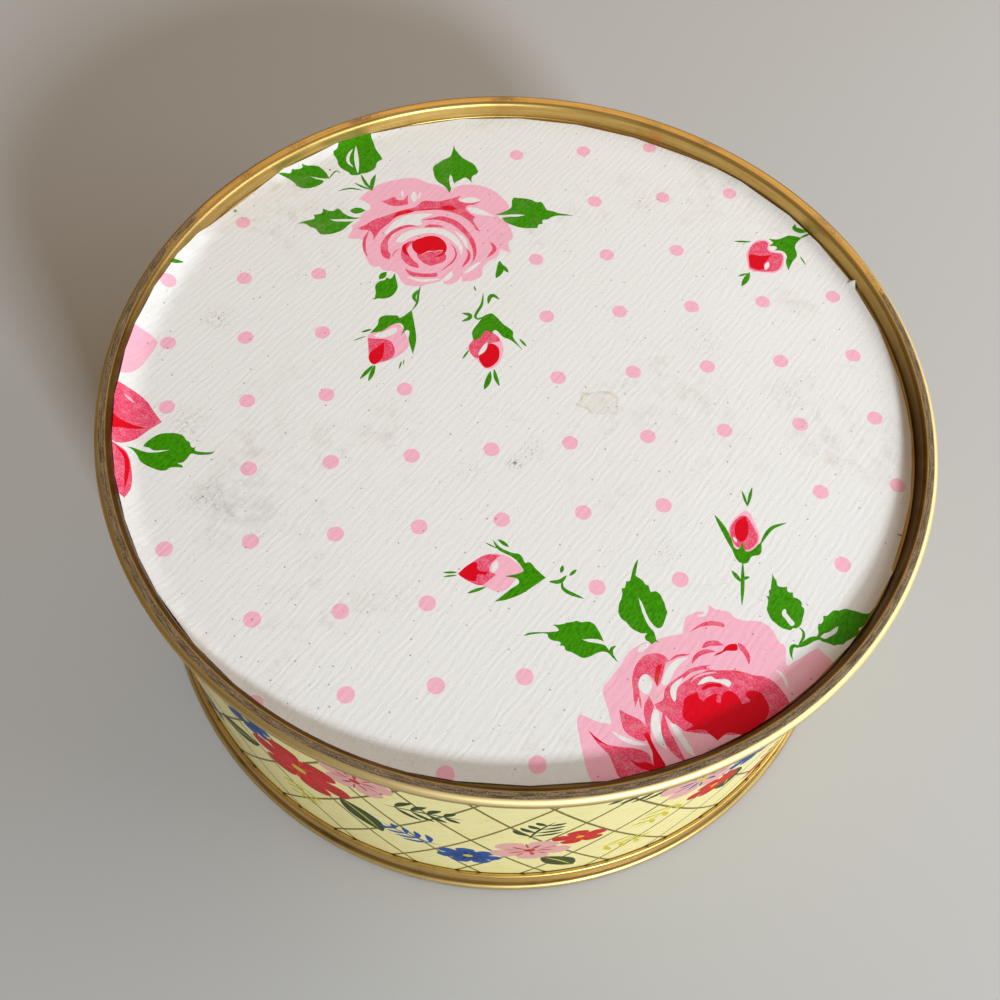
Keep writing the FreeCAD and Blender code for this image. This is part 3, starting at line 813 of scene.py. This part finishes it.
rows = range(-45, 46)
grid = [(point_step * (i + 0.5 * (j % 2)), point_step * 0.87 * j) for j in rows for i in rows]
grid = [point for point in grid if math.hypot(*point) < 83]
grid += [ring_point(r, a + k) for r in (83.5, 82.5, 81.5) for a, k in zip(range(-179, 180, 2), [0, 0.7] * 90)]
disc = printed_mesh("printed_disc", *cut_to_triangles(disc_edge(), disc_print.shapes, PAPER, grid), lie, ROSE)
apply_modifier(disc, "SOLIDIFY", thickness=paper_thickness * mm, offset=-1)
bpy.ops.object.shade_smooth_by_angle(angle=math.radians(40))

# %% [markdown]
# ## The wall's print
# The printed sheet has flower sprays over an olive trellis. The trellis is simple enough to be shader
# maths, but the flowers are drawn here, once for a third of the way round and then repeated. They are plain
# blossoms, leaves and sprigs in a layout of our own.

# %% Flowers for the wall
wall_front = -96
panel_turn = 120
per_degree = wall_outer * math.pi / 180


def blossom(p, x, z, size, ink, fold, eye, turn=0, petals=5, pointed=False):
    p.start(x, z, size, turn)
    wide = 180 / petals
    for k in range(petals):
        middle = 360 * k / petals
        end = (*ring_point(0.50, middle), pointed)
        p.patch(ink, ring_point(0.03, middle), ring_point(0.22, middle - wide * 0.96),
                ring_point(0.43, middle - wide * 0.72), end[:3 if pointed else 2],
                ring_point(0.43, middle + wide * 0.72), ring_point(0.22, middle + wide * 0.96))
    for k in range(petals):
        middle = 360 * k / petals
        p.stroke(fold, 0.055, ring_point(0.07, middle), ring_point(0.20, middle + 4), ring_point(0.29, middle))
        p.stroke(fold, 0.030, ring_point(0.12, middle + wide), ring_point(0.36, middle + wide))
    p.dot(eye, 0, 0, 0.075, sides=14)


def spray(p, x, z, length, turn, ink, pairs=4, spread=52):
    p.start(x, z, length, turn)
    p.stroke(ink, 0.05, (0, 0), (0.5, 0.05), (1, 0.0))
    for k in range(pairs):
        along = 0.16 + 0.80 * k / pairs
        size = 0.46 * (1 - 0.55 * k / pairs)
        for hand in (1, -1):
            dx, dy = ring_point(size, hand * spread)
            p.stroke(ink, 0.10, (along, 0.03), (along + dx * 0.5, 0.03 + dy * 0.62), (along + dx, 0.03 + dy), belly=0.55)


def broad_leaf(p, x, z, length, turn, ink):
    p.start(x, z, length, turn)
    p.patch(ink, (0, 0, TIP), (0.25, 0.17), (0.55, 0.22), (0.82, 0.13), (1, 0, TIP), (0.80, -0.12), (0.5, -0.18),
            (0.22, -0.12))
    p.stroke(YELLOW, 0.035, (0.05, 0.0), (0.5, 0.03), (0.92, 0.0))


def wall_panel(p):
    broad_leaf(p, -20, 46, 19, -62, DARK_GREEN)
    broad_leaf(p, -40, 47, 18, -145, DARK_GREEN)
    spray(p, -10, 55, 17, 8, DARK_GREEN)
    spray(p, -44, 70, 14, 165, NAVY)
    spray(p, -31, 36, 15, -95, YELLOW, pairs=3)
    blossom(p, -41, 62, 14, BLUE, NAVY, YELLOW, turn=18, petals=7, pointed=True)
    blossom(p, -15, 65, 16, BLUSH, SALMON, SCARLET, turn=12)
    blossom(p, -29, 51, 24, SCARLET, RED, YELLOW, turn=50, petals=6)
    spray(p, 2, 31, 15, 150, BLUE)
    spray(p, 36, 27, 15, -20, YELLOW, pairs=3)
    broad_leaf(p, 24, 26, 16, -58, DARK_GREEN)
    spray(p, 20, 44, 15, 72, DARK_GREEN)
    blossom(p, 8, 25, 15, BLUE, NAVY, YELLOW, turn=-5, petals=7, pointed=True)
    blossom(p, 31, 42, 12, SCARLET, RED, YELLOW, turn=30)
    blossom(p, 21, 33, 18, BLUSH, SALMON, SCARLET, turn=-8)
    spray(p, 49, 68, 16, 170, DARK_GREEN)
    broad_leaf(p, 62, 56, 18, -80, DARK_GREEN)
    spray(p, 52, 50, 15, -125, YELLOW, pairs=3)
    spray(p, 75, 60, 14, 20, BLUE)
    blossom(p, 54, 63, 19, BLUSH, BLUE, YELLOW, turn=25)
    blossom(p, 68, 61, 15, BLUE, NAVY, YELLOW, turn=0, petals=7, pointed=True)
    blossom(p, 60, 49, 13, SCARLET, RED, YELLOW, turn=50)
    spray(p, -74, 35, 14, 110, DARK_GREEN)
    spray(p, -64, 22, 14, -20, YELLOW, pairs=3)
    blossom(p, -62, 30, 13, BLUE, NAVY, YELLOW, turn=12, petals=7, pointed=True)
    blossom(p, -74, 26, 17, BLUSH, SALMON, SCARLET, turn=22)
    blossom(p, 82, 24, 14, SCARLET, RED, YELLOW, turn=5)
    spray(p, 80, 32, 13, 80, DARK_GREEN, pairs=3)


panel = Print()
wall_panel(panel)
wall_shapes = []
for count in range(360 // panel_turn):
    shift = count * panel_turn * per_degree
    wall_shapes += [(ink, [(x + shift, z) for x, z in shape]) for ink, shape in panel.shapes]
print(f"the wall's print has {len(wall_shapes)} shapes")

# %% [markdown]
# Straight seams between the columns keep the wrapped print as round as the sheet under it. The old outer
# face is selected by its radius and height, deleted, and the print takes its place.

# %% Wrap the print round the wall
sheet_low, sheet_high = curl_foot + curl_bend, hook_top - 0.58
columns = [(k * 360 / around - panel_turn / 2) * per_degree for k in range(around + 1)]
sheet_outline = [(x, sheet_low) for x in columns] + [(x, sheet_high) for x in reversed(columns)]
column_lines = [((x, sheet_low), (x, sheet_high)) for x in columns[1:-1]]


def wrap(x, z):
    angle = math.radians(wall_front) + x / wall_outer
    return wall_outer * math.cos(angle) * mm, wall_outer * math.sin(angle) * mm, z * mm


def under_print(face):
    radius = math.hypot(face.center.x, face.center.y) / mm
    return wall_middle < radius < wall_outer + 0.02 and sheet_low < face.center.z / mm < sheet_high


bpy.ops.object.select_all(action="DESELECT")
bpy.context.view_layer.objects.active = wall
wall.select_set(True)
pick(wall, "FACE", under_print)
bpy.ops.mesh.delete(type="FACE")
bpy.ops.object.mode_set(mode="OBJECT")
wall_print = printed_mesh(
    "wall_print", *cut_to_triangles(sheet_outline, wall_shapes, CREAM, lines=column_lines), wrap, CREAM)
for piece, index in ((wall, 0), (wall_print, 1)):
    for name in ("inside", "outside"):
        piece.data.materials.append(bpy.data.materials.get(name) or bpy.data.materials.new(name))
    piece.data.polygons.foreach_set("material_index", [index] * len(piece.data.polygons))
wall.select_set(True)
bpy.context.view_layer.objects.active = wall
bpy.ops.object.join()

seam = Vector(wrap(columns[0], 0)).xy


def on_join(vertex):
    row_gap = min(abs(vertex.co.z / mm - row) for row in (sheet_low, sheet_high))
    return row_gap < 0.05 or (vertex.co.xy - seam).length / mm < 0.05


pick(wall, "VERT", on_join)
bpy.ops.mesh.remove_doubles(threshold=0.03 * mm)
bpy.ops.mesh.select_all(action="DESELECT")
bpy.ops.mesh.select_non_manifold()
bpy.ops.object.mode_set(mode="OBJECT")
bpy.ops.object.shade_smooth_by_angle(angle=math.radians(35))
open_edges = sum(edge.select for edge in wall.data.edges)
print(f"wall_sheet: {len(wall.data.polygons)} faces, {open_edges} open edges")

# %% [markdown]
# ## Shader maths
# A small class wraps a socket, so that an expression such as 1 - mask adds its own Math node. Any other
# node comes from one method that takes its type, its settings and its inputs.

# %% The node helpers
class Value:
    """An output socket that can be used in arithmetic."""

    def __init__(self, board, socket):
        self.board, self.socket = board, socket

    def maths(self, operation, *inputs, clamp=False):
        return self.board.node("ShaderNodeMath", {"operation": operation, "use_clamp": clamp}, *inputs)

    def __add__(self, other):
        return self.maths("ADD", self, other)

    def __sub__(self, other):
        return self.maths("SUBTRACT", self, other)

    def __rsub__(self, other):
        return self.maths("SUBTRACT", other, self)

    def __mul__(self, other):
        return self.maths("MULTIPLY", self, other)

    def __truediv__(self, other):
        return self.maths("DIVIDE", self, other)

    def __pow__(self, other):
        return self.maths("POWER", self, other)

    __radd__, __rmul__ = __add__, __mul__

    def above(self, start, end):
        """0 below start, 1 above end, and smooth between."""
        return self.board.node("ShaderNodeMapRange", {"interpolation_type": "SMOOTHSTEP"}, self, start, end)

    def wave(self):
        return self.maths("SINE", self)

    def size(self):
        return self.maths("ABSOLUTE", self)

    def least(self, other):
        return self.maths("MINIMUM", self, other)

    def most(self, other):
        return self.maths("MAXIMUM", self, other)


class Board:
    """The node board of one material."""

    def __init__(self, name):
        self.material = bpy.data.materials.get(name) or bpy.data.materials.new(name)
        self.material.use_nodes = True
        self.tree = self.material.node_tree
        self.tree.nodes.clear()
        self.shader = self.tree.nodes.new("ShaderNodeBsdfPrincipled")
        output = self.tree.nodes.new("ShaderNodeOutputMaterial")
        self.tree.links.new(self.shader.outputs[0], output.inputs[0])
        place = self.node("ShaderNodeTexCoord", {}, out="Object")
        scaled = self.node("ShaderNodeVectorMath", {"operation": "SCALE"}, place, Scale=1 / mm)
        self.place = scaled
        split = self.tree.nodes.new("ShaderNodeSeparateXYZ")
        self.link(scaled, split.inputs[0])
        self.x, self.y, self.z = (Value(self, socket) for socket in split.outputs)
        self.radius = (self.x * self.x + self.y * self.y) ** 0.5
        self.angle = self.y.maths("ARCTAN2", self.y, self.x)

    def link(self, value, socket):
        """Feeds a socket from a value, a colour, a vector or a number."""
        if isinstance(value, Value):
            self.tree.links.new(value.socket, socket)
        elif socket.type == "RGBA":
            socket.default_value = (*linear(value), 1)
        else:
            socket.default_value = value

    def node(self, kind, settings, *inputs, out=None, **named):
        """Adds a node, with its settings first and then the inputs of its sockets. Returns one output."""
        node = self.tree.nodes.new(kind)
        for key, value in settings.items():
            setattr(node, key, value)
        for socket, value in zip(node.inputs, inputs):
            self.link(value, socket)
        for name, value in named.items():
            (socket,) = [s for s in node.inputs if s.identifier == name or s.name == name.replace("_", " ")]
            self.link(value, socket)
        usable = [socket for socket in node.outputs if socket.enabled]
        return Value(self, node.outputs[out] if out else usable[0])

    def noise(self, scale, detail=2, roughness=0.5, place=None, distortion=0.0):
        """Noise from 0 to 1. Its scale is in blots per millimetre."""
        settings = {"noise_dimensions": "3D"}
        return self.node("ShaderNodeTexNoise", settings, Vector=place or self.place, Scale=scale, Detail=detail,
                         Roughness=roughness, Distortion=distortion)

    def stretched(self, across, along, up):
        """Places stretched round the tin: along is per radian, and across and up are per millimetre."""
        return self.node("ShaderNodeCombineXYZ", {}, self.radius * across, self.angle * along, self.z * up)

    def mix(self, factor, one, other, blend="MIX"):
        """A colour between two others."""
        node = self.tree.nodes.new("ShaderNodeMix")
        node.data_type, node.blend_type = "RGBA", blend
        sockets = {socket.identifier: socket for socket in node.inputs}
        self.link(factor, sockets["Factor_Float"])
        self.link(one, sockets["A_Color"])
        self.link(other, sockets["B_Color"])
        (result,) = [socket for socket in node.outputs if socket.identifier == "Result_Color"]
        return Value(self, result)

    def bump(self, height_map, distance, strength=1.0):
        """A bump whose heights are in millimetres."""
        bump = self.node("ShaderNodeBump", {}, Height=height_map, Distance=distance * mm, Strength=strength)
        self.link(bump, self.shader.inputs["Normal"])

    def set(self, **inputs):
        """Sets sockets of the shader itself."""
        for name, value in inputs.items():
            self.link(value, self.shader.inputs[name.replace("_", " ")])


# %% [markdown]
# ## Gold lacquer
# The base and the lid are tinplate under a thin yellow lacquer, which looks like brass. Rubbing has chipped
# it on the crown and burnished it pale on the crown's inner edge and on the bead. A painted highlight lies on
# the outside of the seam at the front and right. Painted shade darkens the recess, the foot of the seam, the
# back of the seam's outside and the groove over the lid's bead, and the lid has patches of real dirt.

# %% Make the gold lacquer
def gold_lacquer(name, rubbed, pale_and_highlight, shade_and_dirt):
    """Yellow lacquer on plate. Three functions give, from the board, the rubbed share, the share of pale burnish and
    painted highlight, and the share of painted shade and dirt.
    """
    b = Board(name)
    streaks = b.noise(1, detail=2, place=b.stretched(1.6, 5, 1.6))
    fine = b.noise(1, detail=2, place=b.stretched(6, 20, 6))
    blots = b.noise(0.10, detail=4, roughness=0.6)
    specks = b.noise(3.2, detail=2, roughness=0.7)
    bare = rubbed(b, blots * 0.55 + specks * 0.45)
    pale_and_highlight_share = pale_and_highlight(b, blots)
    shade_and_dirt_share = shade_and_dirt(b, blots)
    gold = b.mix(streaks.above(0.35, 0.65), (208, 170, 92), (222, 188, 114))
    gold = b.mix(blots.above(0.50, 0.75) * 0.35, gold, (166, 122, 52))
    # Painted shade, with some real dirt on the lid, darkens the gold to brown.
    gold = b.mix(shade_and_dirt_share, gold, (78, 50, 8))
    # Painted highlight on the seam's outside, together with pale burnish on the crown's edge and the bead.
    gold = b.mix(pale_and_highlight_share, gold, (240, 219, 160))
    worn = b.mix(fine.above(0.42, 0.58), (80, 66, 52), (142, 122, 98))
    worn = b.mix(specks.above(0.60, 0.68) * 0.6, worn, (196, 184, 152))
    pits = (1 - specks.above(0.32, 0.40)) * (bare + 0.08)
    colour = b.mix(bare * 0.95, gold, worn)
    colour = b.mix(pits.least(1) * 0.8, colour, (44, 30, 18))
    b.set(Base_Color=colour, Roughness=0.34 + fine * 0.10 + bare * 0.16 + shade_and_dirt_share * 0.06 + pale_and_highlight_share * 0.20,
          Metallic=1 - bare * 0.5 - shade_and_dirt_share * 0.10)
    b.bump(streaks * 0.4 + fine * 0.3 + specks * 0.5 * (bare + 0.2), 0.02, 0.6)
    return b.material


def facing_front(b):
    """1 round the tin's front and 0 at its back."""
    return 1 - (b.y / b.radius).above(-0.1, 0.75)


def rubbed_crown(b, patchy):
    """Brown and chipped along the crown, widest towards the front."""
    band = b.radius.above(86.62, 86.82) * (1 - b.radius.above(87.85, 88.10)) * b.z.above(height - 0.7, height - 0.4)
    return band * (patchy + 0.38 * facing_front(b)).above(0.54, 0.66)


def burnish_and_highlight_crown(b, patchy):
    """Pale tin shows on the inner edge of the crown. The outside of the seam gets a painted highlight on the right
    and front, where the key light shines.
    """
    edge = (1 - ((b.radius - 86.55).size() / 0.12).least(1)) * b.z.above(height - 0.7, height - 0.4) * 0.3
    outside = b.radius.above(87.85, 88.15) * (0.72 + patchy * 0.4) * b.z.above(height - 1.6, height - 0.9)
    return edge.most(outside * (b.x / b.radius).above(-0.75, 0.1) * (1 - (b.y / b.radius).above(0.3, 0.8))).least(1)


def painted_shade_crown(b, patchy):
    """Painted shade: the recess and the foot of the seam are darkened brown, the recess most at the front, and the
    seam's outside is darkened towards the back as a painted dark reflection.
    """
    recess = (1 - b.radius.above(86.5, 86.8)) * b.z.above(panel_middle, panel_middle + 0.3)
    foot = b.radius.above(88, 88.4) * (1 - b.z.above(seam_foot - 0.1, seam_foot + 0.5))
    outside = b.radius.above(87.9, 88.3) * (0.55 - 0.35 * facing_front(b))
    return (recess * (0.15 + 0.85 * facing_front(b)) + outside + foot * 0.7).least(1) * (0.8 + patchy * 0.3).least(1)


def rubbed_bead(b, patchy):
    outside = b.radius.above(88.75, 89.15) * (1 - b.z.above(2.2, 2.6))
    return outside * (patchy + 0.25).above(0.50, 0.70) * 0.5


def burnished_bead(b, patchy):
    return b.radius.above(88.55, 88.95) * (1 - b.z.above(2.3, 2.7)) * (0.15 + patchy * 0.3)


def shade_and_dirt_bead(b, patchy):
    # Painted shade in the groove over the bead, and patches of real dirt.
    groove = b.z.above(2.1, 2.5) * (1 - b.z.above(2.7, 3.6))
    return groove * 0.6 + patchy.above(0.45, 0.8) * 0.25


base.data.materials.append(gold_lacquer("seam_gold", rubbed_crown, burnish_and_highlight_crown, painted_shade_crown))
lid.data.materials.append(gold_lacquer("lid_gold", rubbed_bead, burnished_bead, shade_and_dirt_bead))

# %% [markdown]
# ## Printed tinplate
# The wall's print is ink under clear varnish. On bare cream the trellis is drawn by maths: two families of
# slanted lines, from the angle and the height. The ink edges come from the mesh.

# %% Make the printed tinplate
diamond_degrees, diamond_height = 10, 27.53
crossing_angle, crossing_height = -95.45, 54.3
line_half, line_reach = 0.36, 13.27


def printed_plate():
    b = Board("outside")
    ink = b.node("ShaderNodeAttribute", {"attribute_name": printed}, out="Color")
    bare = b.node("ShaderNodeAttribute", {"attribute_name": extra}, out="Fac")
    turn = (b.angle * (180 / math.pi) - crossing_angle) / diamond_degrees
    rise = (b.z - crossing_height) / diamond_height
    wobble = b.noise(0.9, detail=1) * 0.012
    lines = []
    for slant in (turn + rise, turn - rise):
        nearest = (slant + wobble).maths("PINGPONG", slant + wobble, 0.5)
        lines.append(1 - (nearest * line_reach).above(line_half - 0.10, line_half + 0.10))
    trellis = lines[0].most(lines[1]) * bare
    mottle = b.noise(0.35, detail=3)
    specks = b.noise(3.0, detail=2)
    cream = b.mix(mottle.above(0.45, 0.75) * 0.35 * bare, ink, (214, 186, 112))
    colour = b.mix(trellis * 0.96, cream, ink_colours[OLIVE])
    dirt = specks.above(0.70, 0.78) * mottle.above(0.5, 0.6)
    colour = b.mix(dirt * 0.6, colour, (96, 76, 48))
    b.set(Base_Color=colour, Roughness=0.34 + mottle * 0.12 + dirt * 0.3, Specular_IOR_Level=0.07)
    b.bump(mottle * 0.7 + specks * 0.3, 0.015, 0.4)
    return b.material


def bare_plate():
    b = Board("inside")
    streaks = b.noise(1, detail=3, place=b.stretched(2.0, 8, 2.0))
    crystals = b.node("ShaderNodeTexVoronoi", {}, Vector=b.place, Scale=0.35, out="Distance")
    colour = b.mix(streaks.above(0.3, 0.7), (196, 194, 190), (168, 164, 158))
    b.set(Base_Color=colour, Roughness=0.30 + streaks * 0.15 + crystals * 0.02, Metallic=1)
    b.bump(streaks, 0.01, 0.4)
    return b.material


printed_plate()
bare_plate()

# %% [markdown]
# ## Embossed vinyl
# The disc's face is pressed into long soft ribs about 2 mm apart that run up to the right and waver, with a
# finer grain over them. The mid pink is printed as a stipple. Years of use have left smudges, a ring
# and dark specks.

# %% Make the vinyl
rib_turn = math.radians(58)
rib_pitch = 1.55


scuffs = (  # place, reach and core in millimetres, and strength
    (-76.9, 57.3, 3.0, 0.7, 0.6), (-77.6, 43.8, 2.2, 0.5, 0.5), (-71.4, 44.0, 2.2, 0.6, 0.5),
    (0.3, -17.2, 2.6, 0.6, 0.8), (3.5, -13.6, 4.0, 0.2, 0.4), (-51.6, 60.1, 2.5, 0.4, 0.4),
    (31.0, -34.5, 4.5, 0.2, 0.35), (-8.8, -20.0, 4.0, 0.2, 0.25), (58.0, 8.0, 6.0, 0.2, 0.25),
    (-68.3, 12.1, 5.0, 0.25, 0.5), (-69.0, -15.6, 6.0, 0.25, 0.45), (-61.8, -32.7, 6.0, 0.3, 0.45),
    (-20.0, -50.0, 6.0, 0.2, 0.2), (24.0, 60.0, 7.0, 0.3, 0.25), (40.0, 20.0, 8.0, 0.2, 0.2),
)


def cell_colour(b, cells):
    """The random colour of each cell of a cell texture."""
    return Value(b, cells.socket.node.outputs["Color"])


def vinyl():
    b = Board("embossed_vinyl")
    ink = b.node("ShaderNodeAttribute", {"attribute_name": printed}, out="Color")
    stippled = b.node("ShaderNodeAttribute", {"attribute_name": extra}, out="Fac")
    along = b.x * math.cos(rib_turn) + b.y * math.sin(rib_turn)
    across = b.y * math.cos(rib_turn) - b.x * math.sin(rib_turn)
    waver = b.noise(1, detail=2, place=b.node("ShaderNodeCombineXYZ", {}, along * 0.15, across * 0.35, 0.0))
    broken = b.noise(1, detail=1, place=b.node("ShaderNodeCombineXYZ", {}, along * 0.16, across * 0.45, 5.0))
    ribs = ((across + waver * 2.4) * (math.tau / rib_pitch)).wave() * (broken.above(0.32, 0.62) * 0.8 + 0.2)
    dashes = b.noise(1, detail=2, roughness=0.6,
                     place=b.node("ShaderNodeCombineXYZ", {}, along * 0.8, across * 2.2, 2.0))
    grain = b.noise(2.4, detail=3, roughness=0.65)
    height_map = ribs * 0.23 + dashes * 0.65 + grain * 0.34

    dots_of_ink = b.noise(3.3, detail=1)
    uneven = b.noise(0.5, detail=2).above(0.45, 0.70)
    colour = b.mix(stippled * (dots_of_ink.above(0.47, 0.62) * 0.25 + uneven * 0.16), ink, ink_colours[PINK])
    leafy = 1 - b.node("ShaderNodeSeparateColor", {}, ink, out="Red").above(0.1, 0.4)
    # Painted shade: the green ink is darkened grey along the embossed dashes, as shade in the relief.
    colour = b.mix(dashes.above(0.40, 0.66) * leafy * 0.50, colour, (150, 150, 150), blend="MULTIPLY")
    broad = b.noise(0.035, detail=3, roughness=0.6)
    blots = b.noise(0.25, detail=4, roughness=0.7)
    grime = (broad.above(0.48, 0.72) * blots.above(0.42, 0.75)).least(1)
    colour = b.mix(grime * 0.30, colour, (178, 160, 128))
    smudge = (1 - ((b.x + 56) * (b.x + 56) + (b.y + 35) * (b.y + 35)) ** 0.5 / 11).most(0) * blots.above(0.3, 0.7)
    colour = b.mix(smudge * 0.30, colour, (120, 122, 124))
    ring = ((b.x - 17.6) * (b.x - 17.6) / 19 + (b.y - 0.2) * (b.y - 0.2) / 8) ** 0.5
    ring = ring + (b.noise(0.35, detail=2) - 0.5) * 1.1
    line = (1 - ((ring - 1).size() / 0.16).least(1)) * b.noise(0.6).above(0.35, 0.60)
    colour = b.mix((1 - ring.above(0.8, 1.1)) * 0.10 + line * 0.50, colour, (184, 166, 116))
    cells = b.node("ShaderNodeTexVoronoi", {"voronoi_dimensions": "2D"}, Vector=b.place, Scale=0.26)
    chance = b.node("ShaderNodeRGBToBW", {}, cell_colour(b, cells))
    specks = (1 - (cells / (chance.above(0.5, 0.85) * 0.055 + 0.001)).above(0.6, 1.1)) * chance.above(0.5, 0.55)
    dust = b.noise(2.6, detail=2, roughness=0.7).above(0.62, 0.72) * blots.above(0.44, 0.60)
    colour = b.mix((specks * 0.60).most(dust * 0.38), colour, (82, 70, 56))
    in_grooves = (dashes * 0.6 + grain * 0.4).above(0.50, 0.62)
    for x, y, reach, core, strength in scuffs:
        far = ((b.x - x) * (b.x - x) + (b.y - y) * (b.y - y)) ** 0.5
        smear = (1 - far / reach).most(0) * in_grooves * strength
        spot = (1 - (far + grain * core).above(core * 0.9, core * 1.5)) * 0.8
        colour = b.mix(smear.most(spot), colour, (120, 100, 72))
    b.set(Base_Color=colour, Roughness=0.52 + grime * 0.12 + grain * 0.06, Specular_IOR_Level=0.10)
    b.bump(height_map, 0.06, 0.8)
    return b.material


disc.data.materials.append(vinyl())

# %% [markdown]
# ## Bodies
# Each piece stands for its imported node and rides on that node's body, so that the tin lifts off its lid.

# %% Hang the pieces on their bodies
stands_for = (
    (lid, "lid", "lid", "lid_tinplate"),
    (wall, "tin_wall", "tin", "printed_tinplate"),
    (base, "tin_base", "tin", "gold_lacquer"),
    (disc, "paper_disc", "tin", "printed_paper"),
)
for piece, node, body, finish in stands_for:
    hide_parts(node)
    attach(piece, body)

# %% [markdown]
# ## Stage, lights and camera
# A plain pale floor and soft studio lights. The key is low at the front right, as a window would be, so
# that the rim's shadow falls on the disc. The camera looks steeply down from close by, as the photograph
# does.

# %% The floor and the lights
bpy.ops.mesh.primitive_plane_add(size=6, location=(0, 0, 0))
floor = bpy.context.object
floor.name = "floor"
pale = Board("pale_floor")
pale.set(Base_Color=(182, 180, 177), Roughness=0.8 + pale.noise(0.01) * 0.05, Specular_IOR_Level=0.1)
floor.data.materials.append(pale.material)

world = bpy.data.worlds.new("studio")
world.use_nodes = True
world.node_tree.nodes["Background"].inputs[0].default_value = (1.0, 0.83, 0.66, 1)
world.node_tree.nodes["Background"].inputs[1].default_value = 0.24
bpy.context.scene.world = world


def area_light(name, azimuth, elevation, distance, wide, tall, power, colour):
    """A soft box that looks at the tin from this direction."""
    across = distance * math.cos(math.radians(elevation))
    place = Vector((
        across * math.cos(math.radians(azimuth)), across * math.sin(math.radians(azimuth)),
        distance * math.sin(math.radians(elevation)),
    ))
    lamp = bpy.data.lights.new(name, "AREA")
    lamp.shape = "RECTANGLE"
    lamp.size, lamp.size_y, lamp.energy, lamp.color = wide, tall, power, colour
    holder = bpy.data.objects.new(name, lamp)
    holder.location = place
    holder.rotation_euler = (-place).to_track_quat("-Z", "Y").to_euler()
    bpy.context.scene.collection.objects.link(holder)


area_light("key", -58, 27, 2.0, 0.28, 0.28, 42.0, (0.80, 0.90, 1.0))
area_light("window", 5, 34, 0.75, 0.6, 0.4, 3.2, (0.88, 0.94, 1.0))
area_light("fill", -165, 50, 1.0, 0.6, 0.6, 0.1, (1.0, 0.84, 0.66))
area_light("back", 85, 42, 0.9, 1.0, 0.7, 1.9, (1.0, 0.72, 0.44))

# %% The camera
eye = Vector((0, -137.49, 276.56)) * mm
aim = Vector((-1.909, -27.975, 80.3)) * mm
roll = math.radians(5.002)
camera = bpy.data.objects.new("camera", bpy.data.cameras.new("camera"))
camera.location = eye
towards = (aim - eye).to_track_quat("-Z", "Y")
camera.rotation_euler = (towards @ Quaternion((0, 0, 1), roll)).to_euler()
camera.data.lens = 40.11
camera.data.clip_start = 0.01
bpy.context.scene.collection.objects.link(camera)
bpy.context.scene.camera = camera
bpy.context.scene.view_settings.view_transform = "Standard"
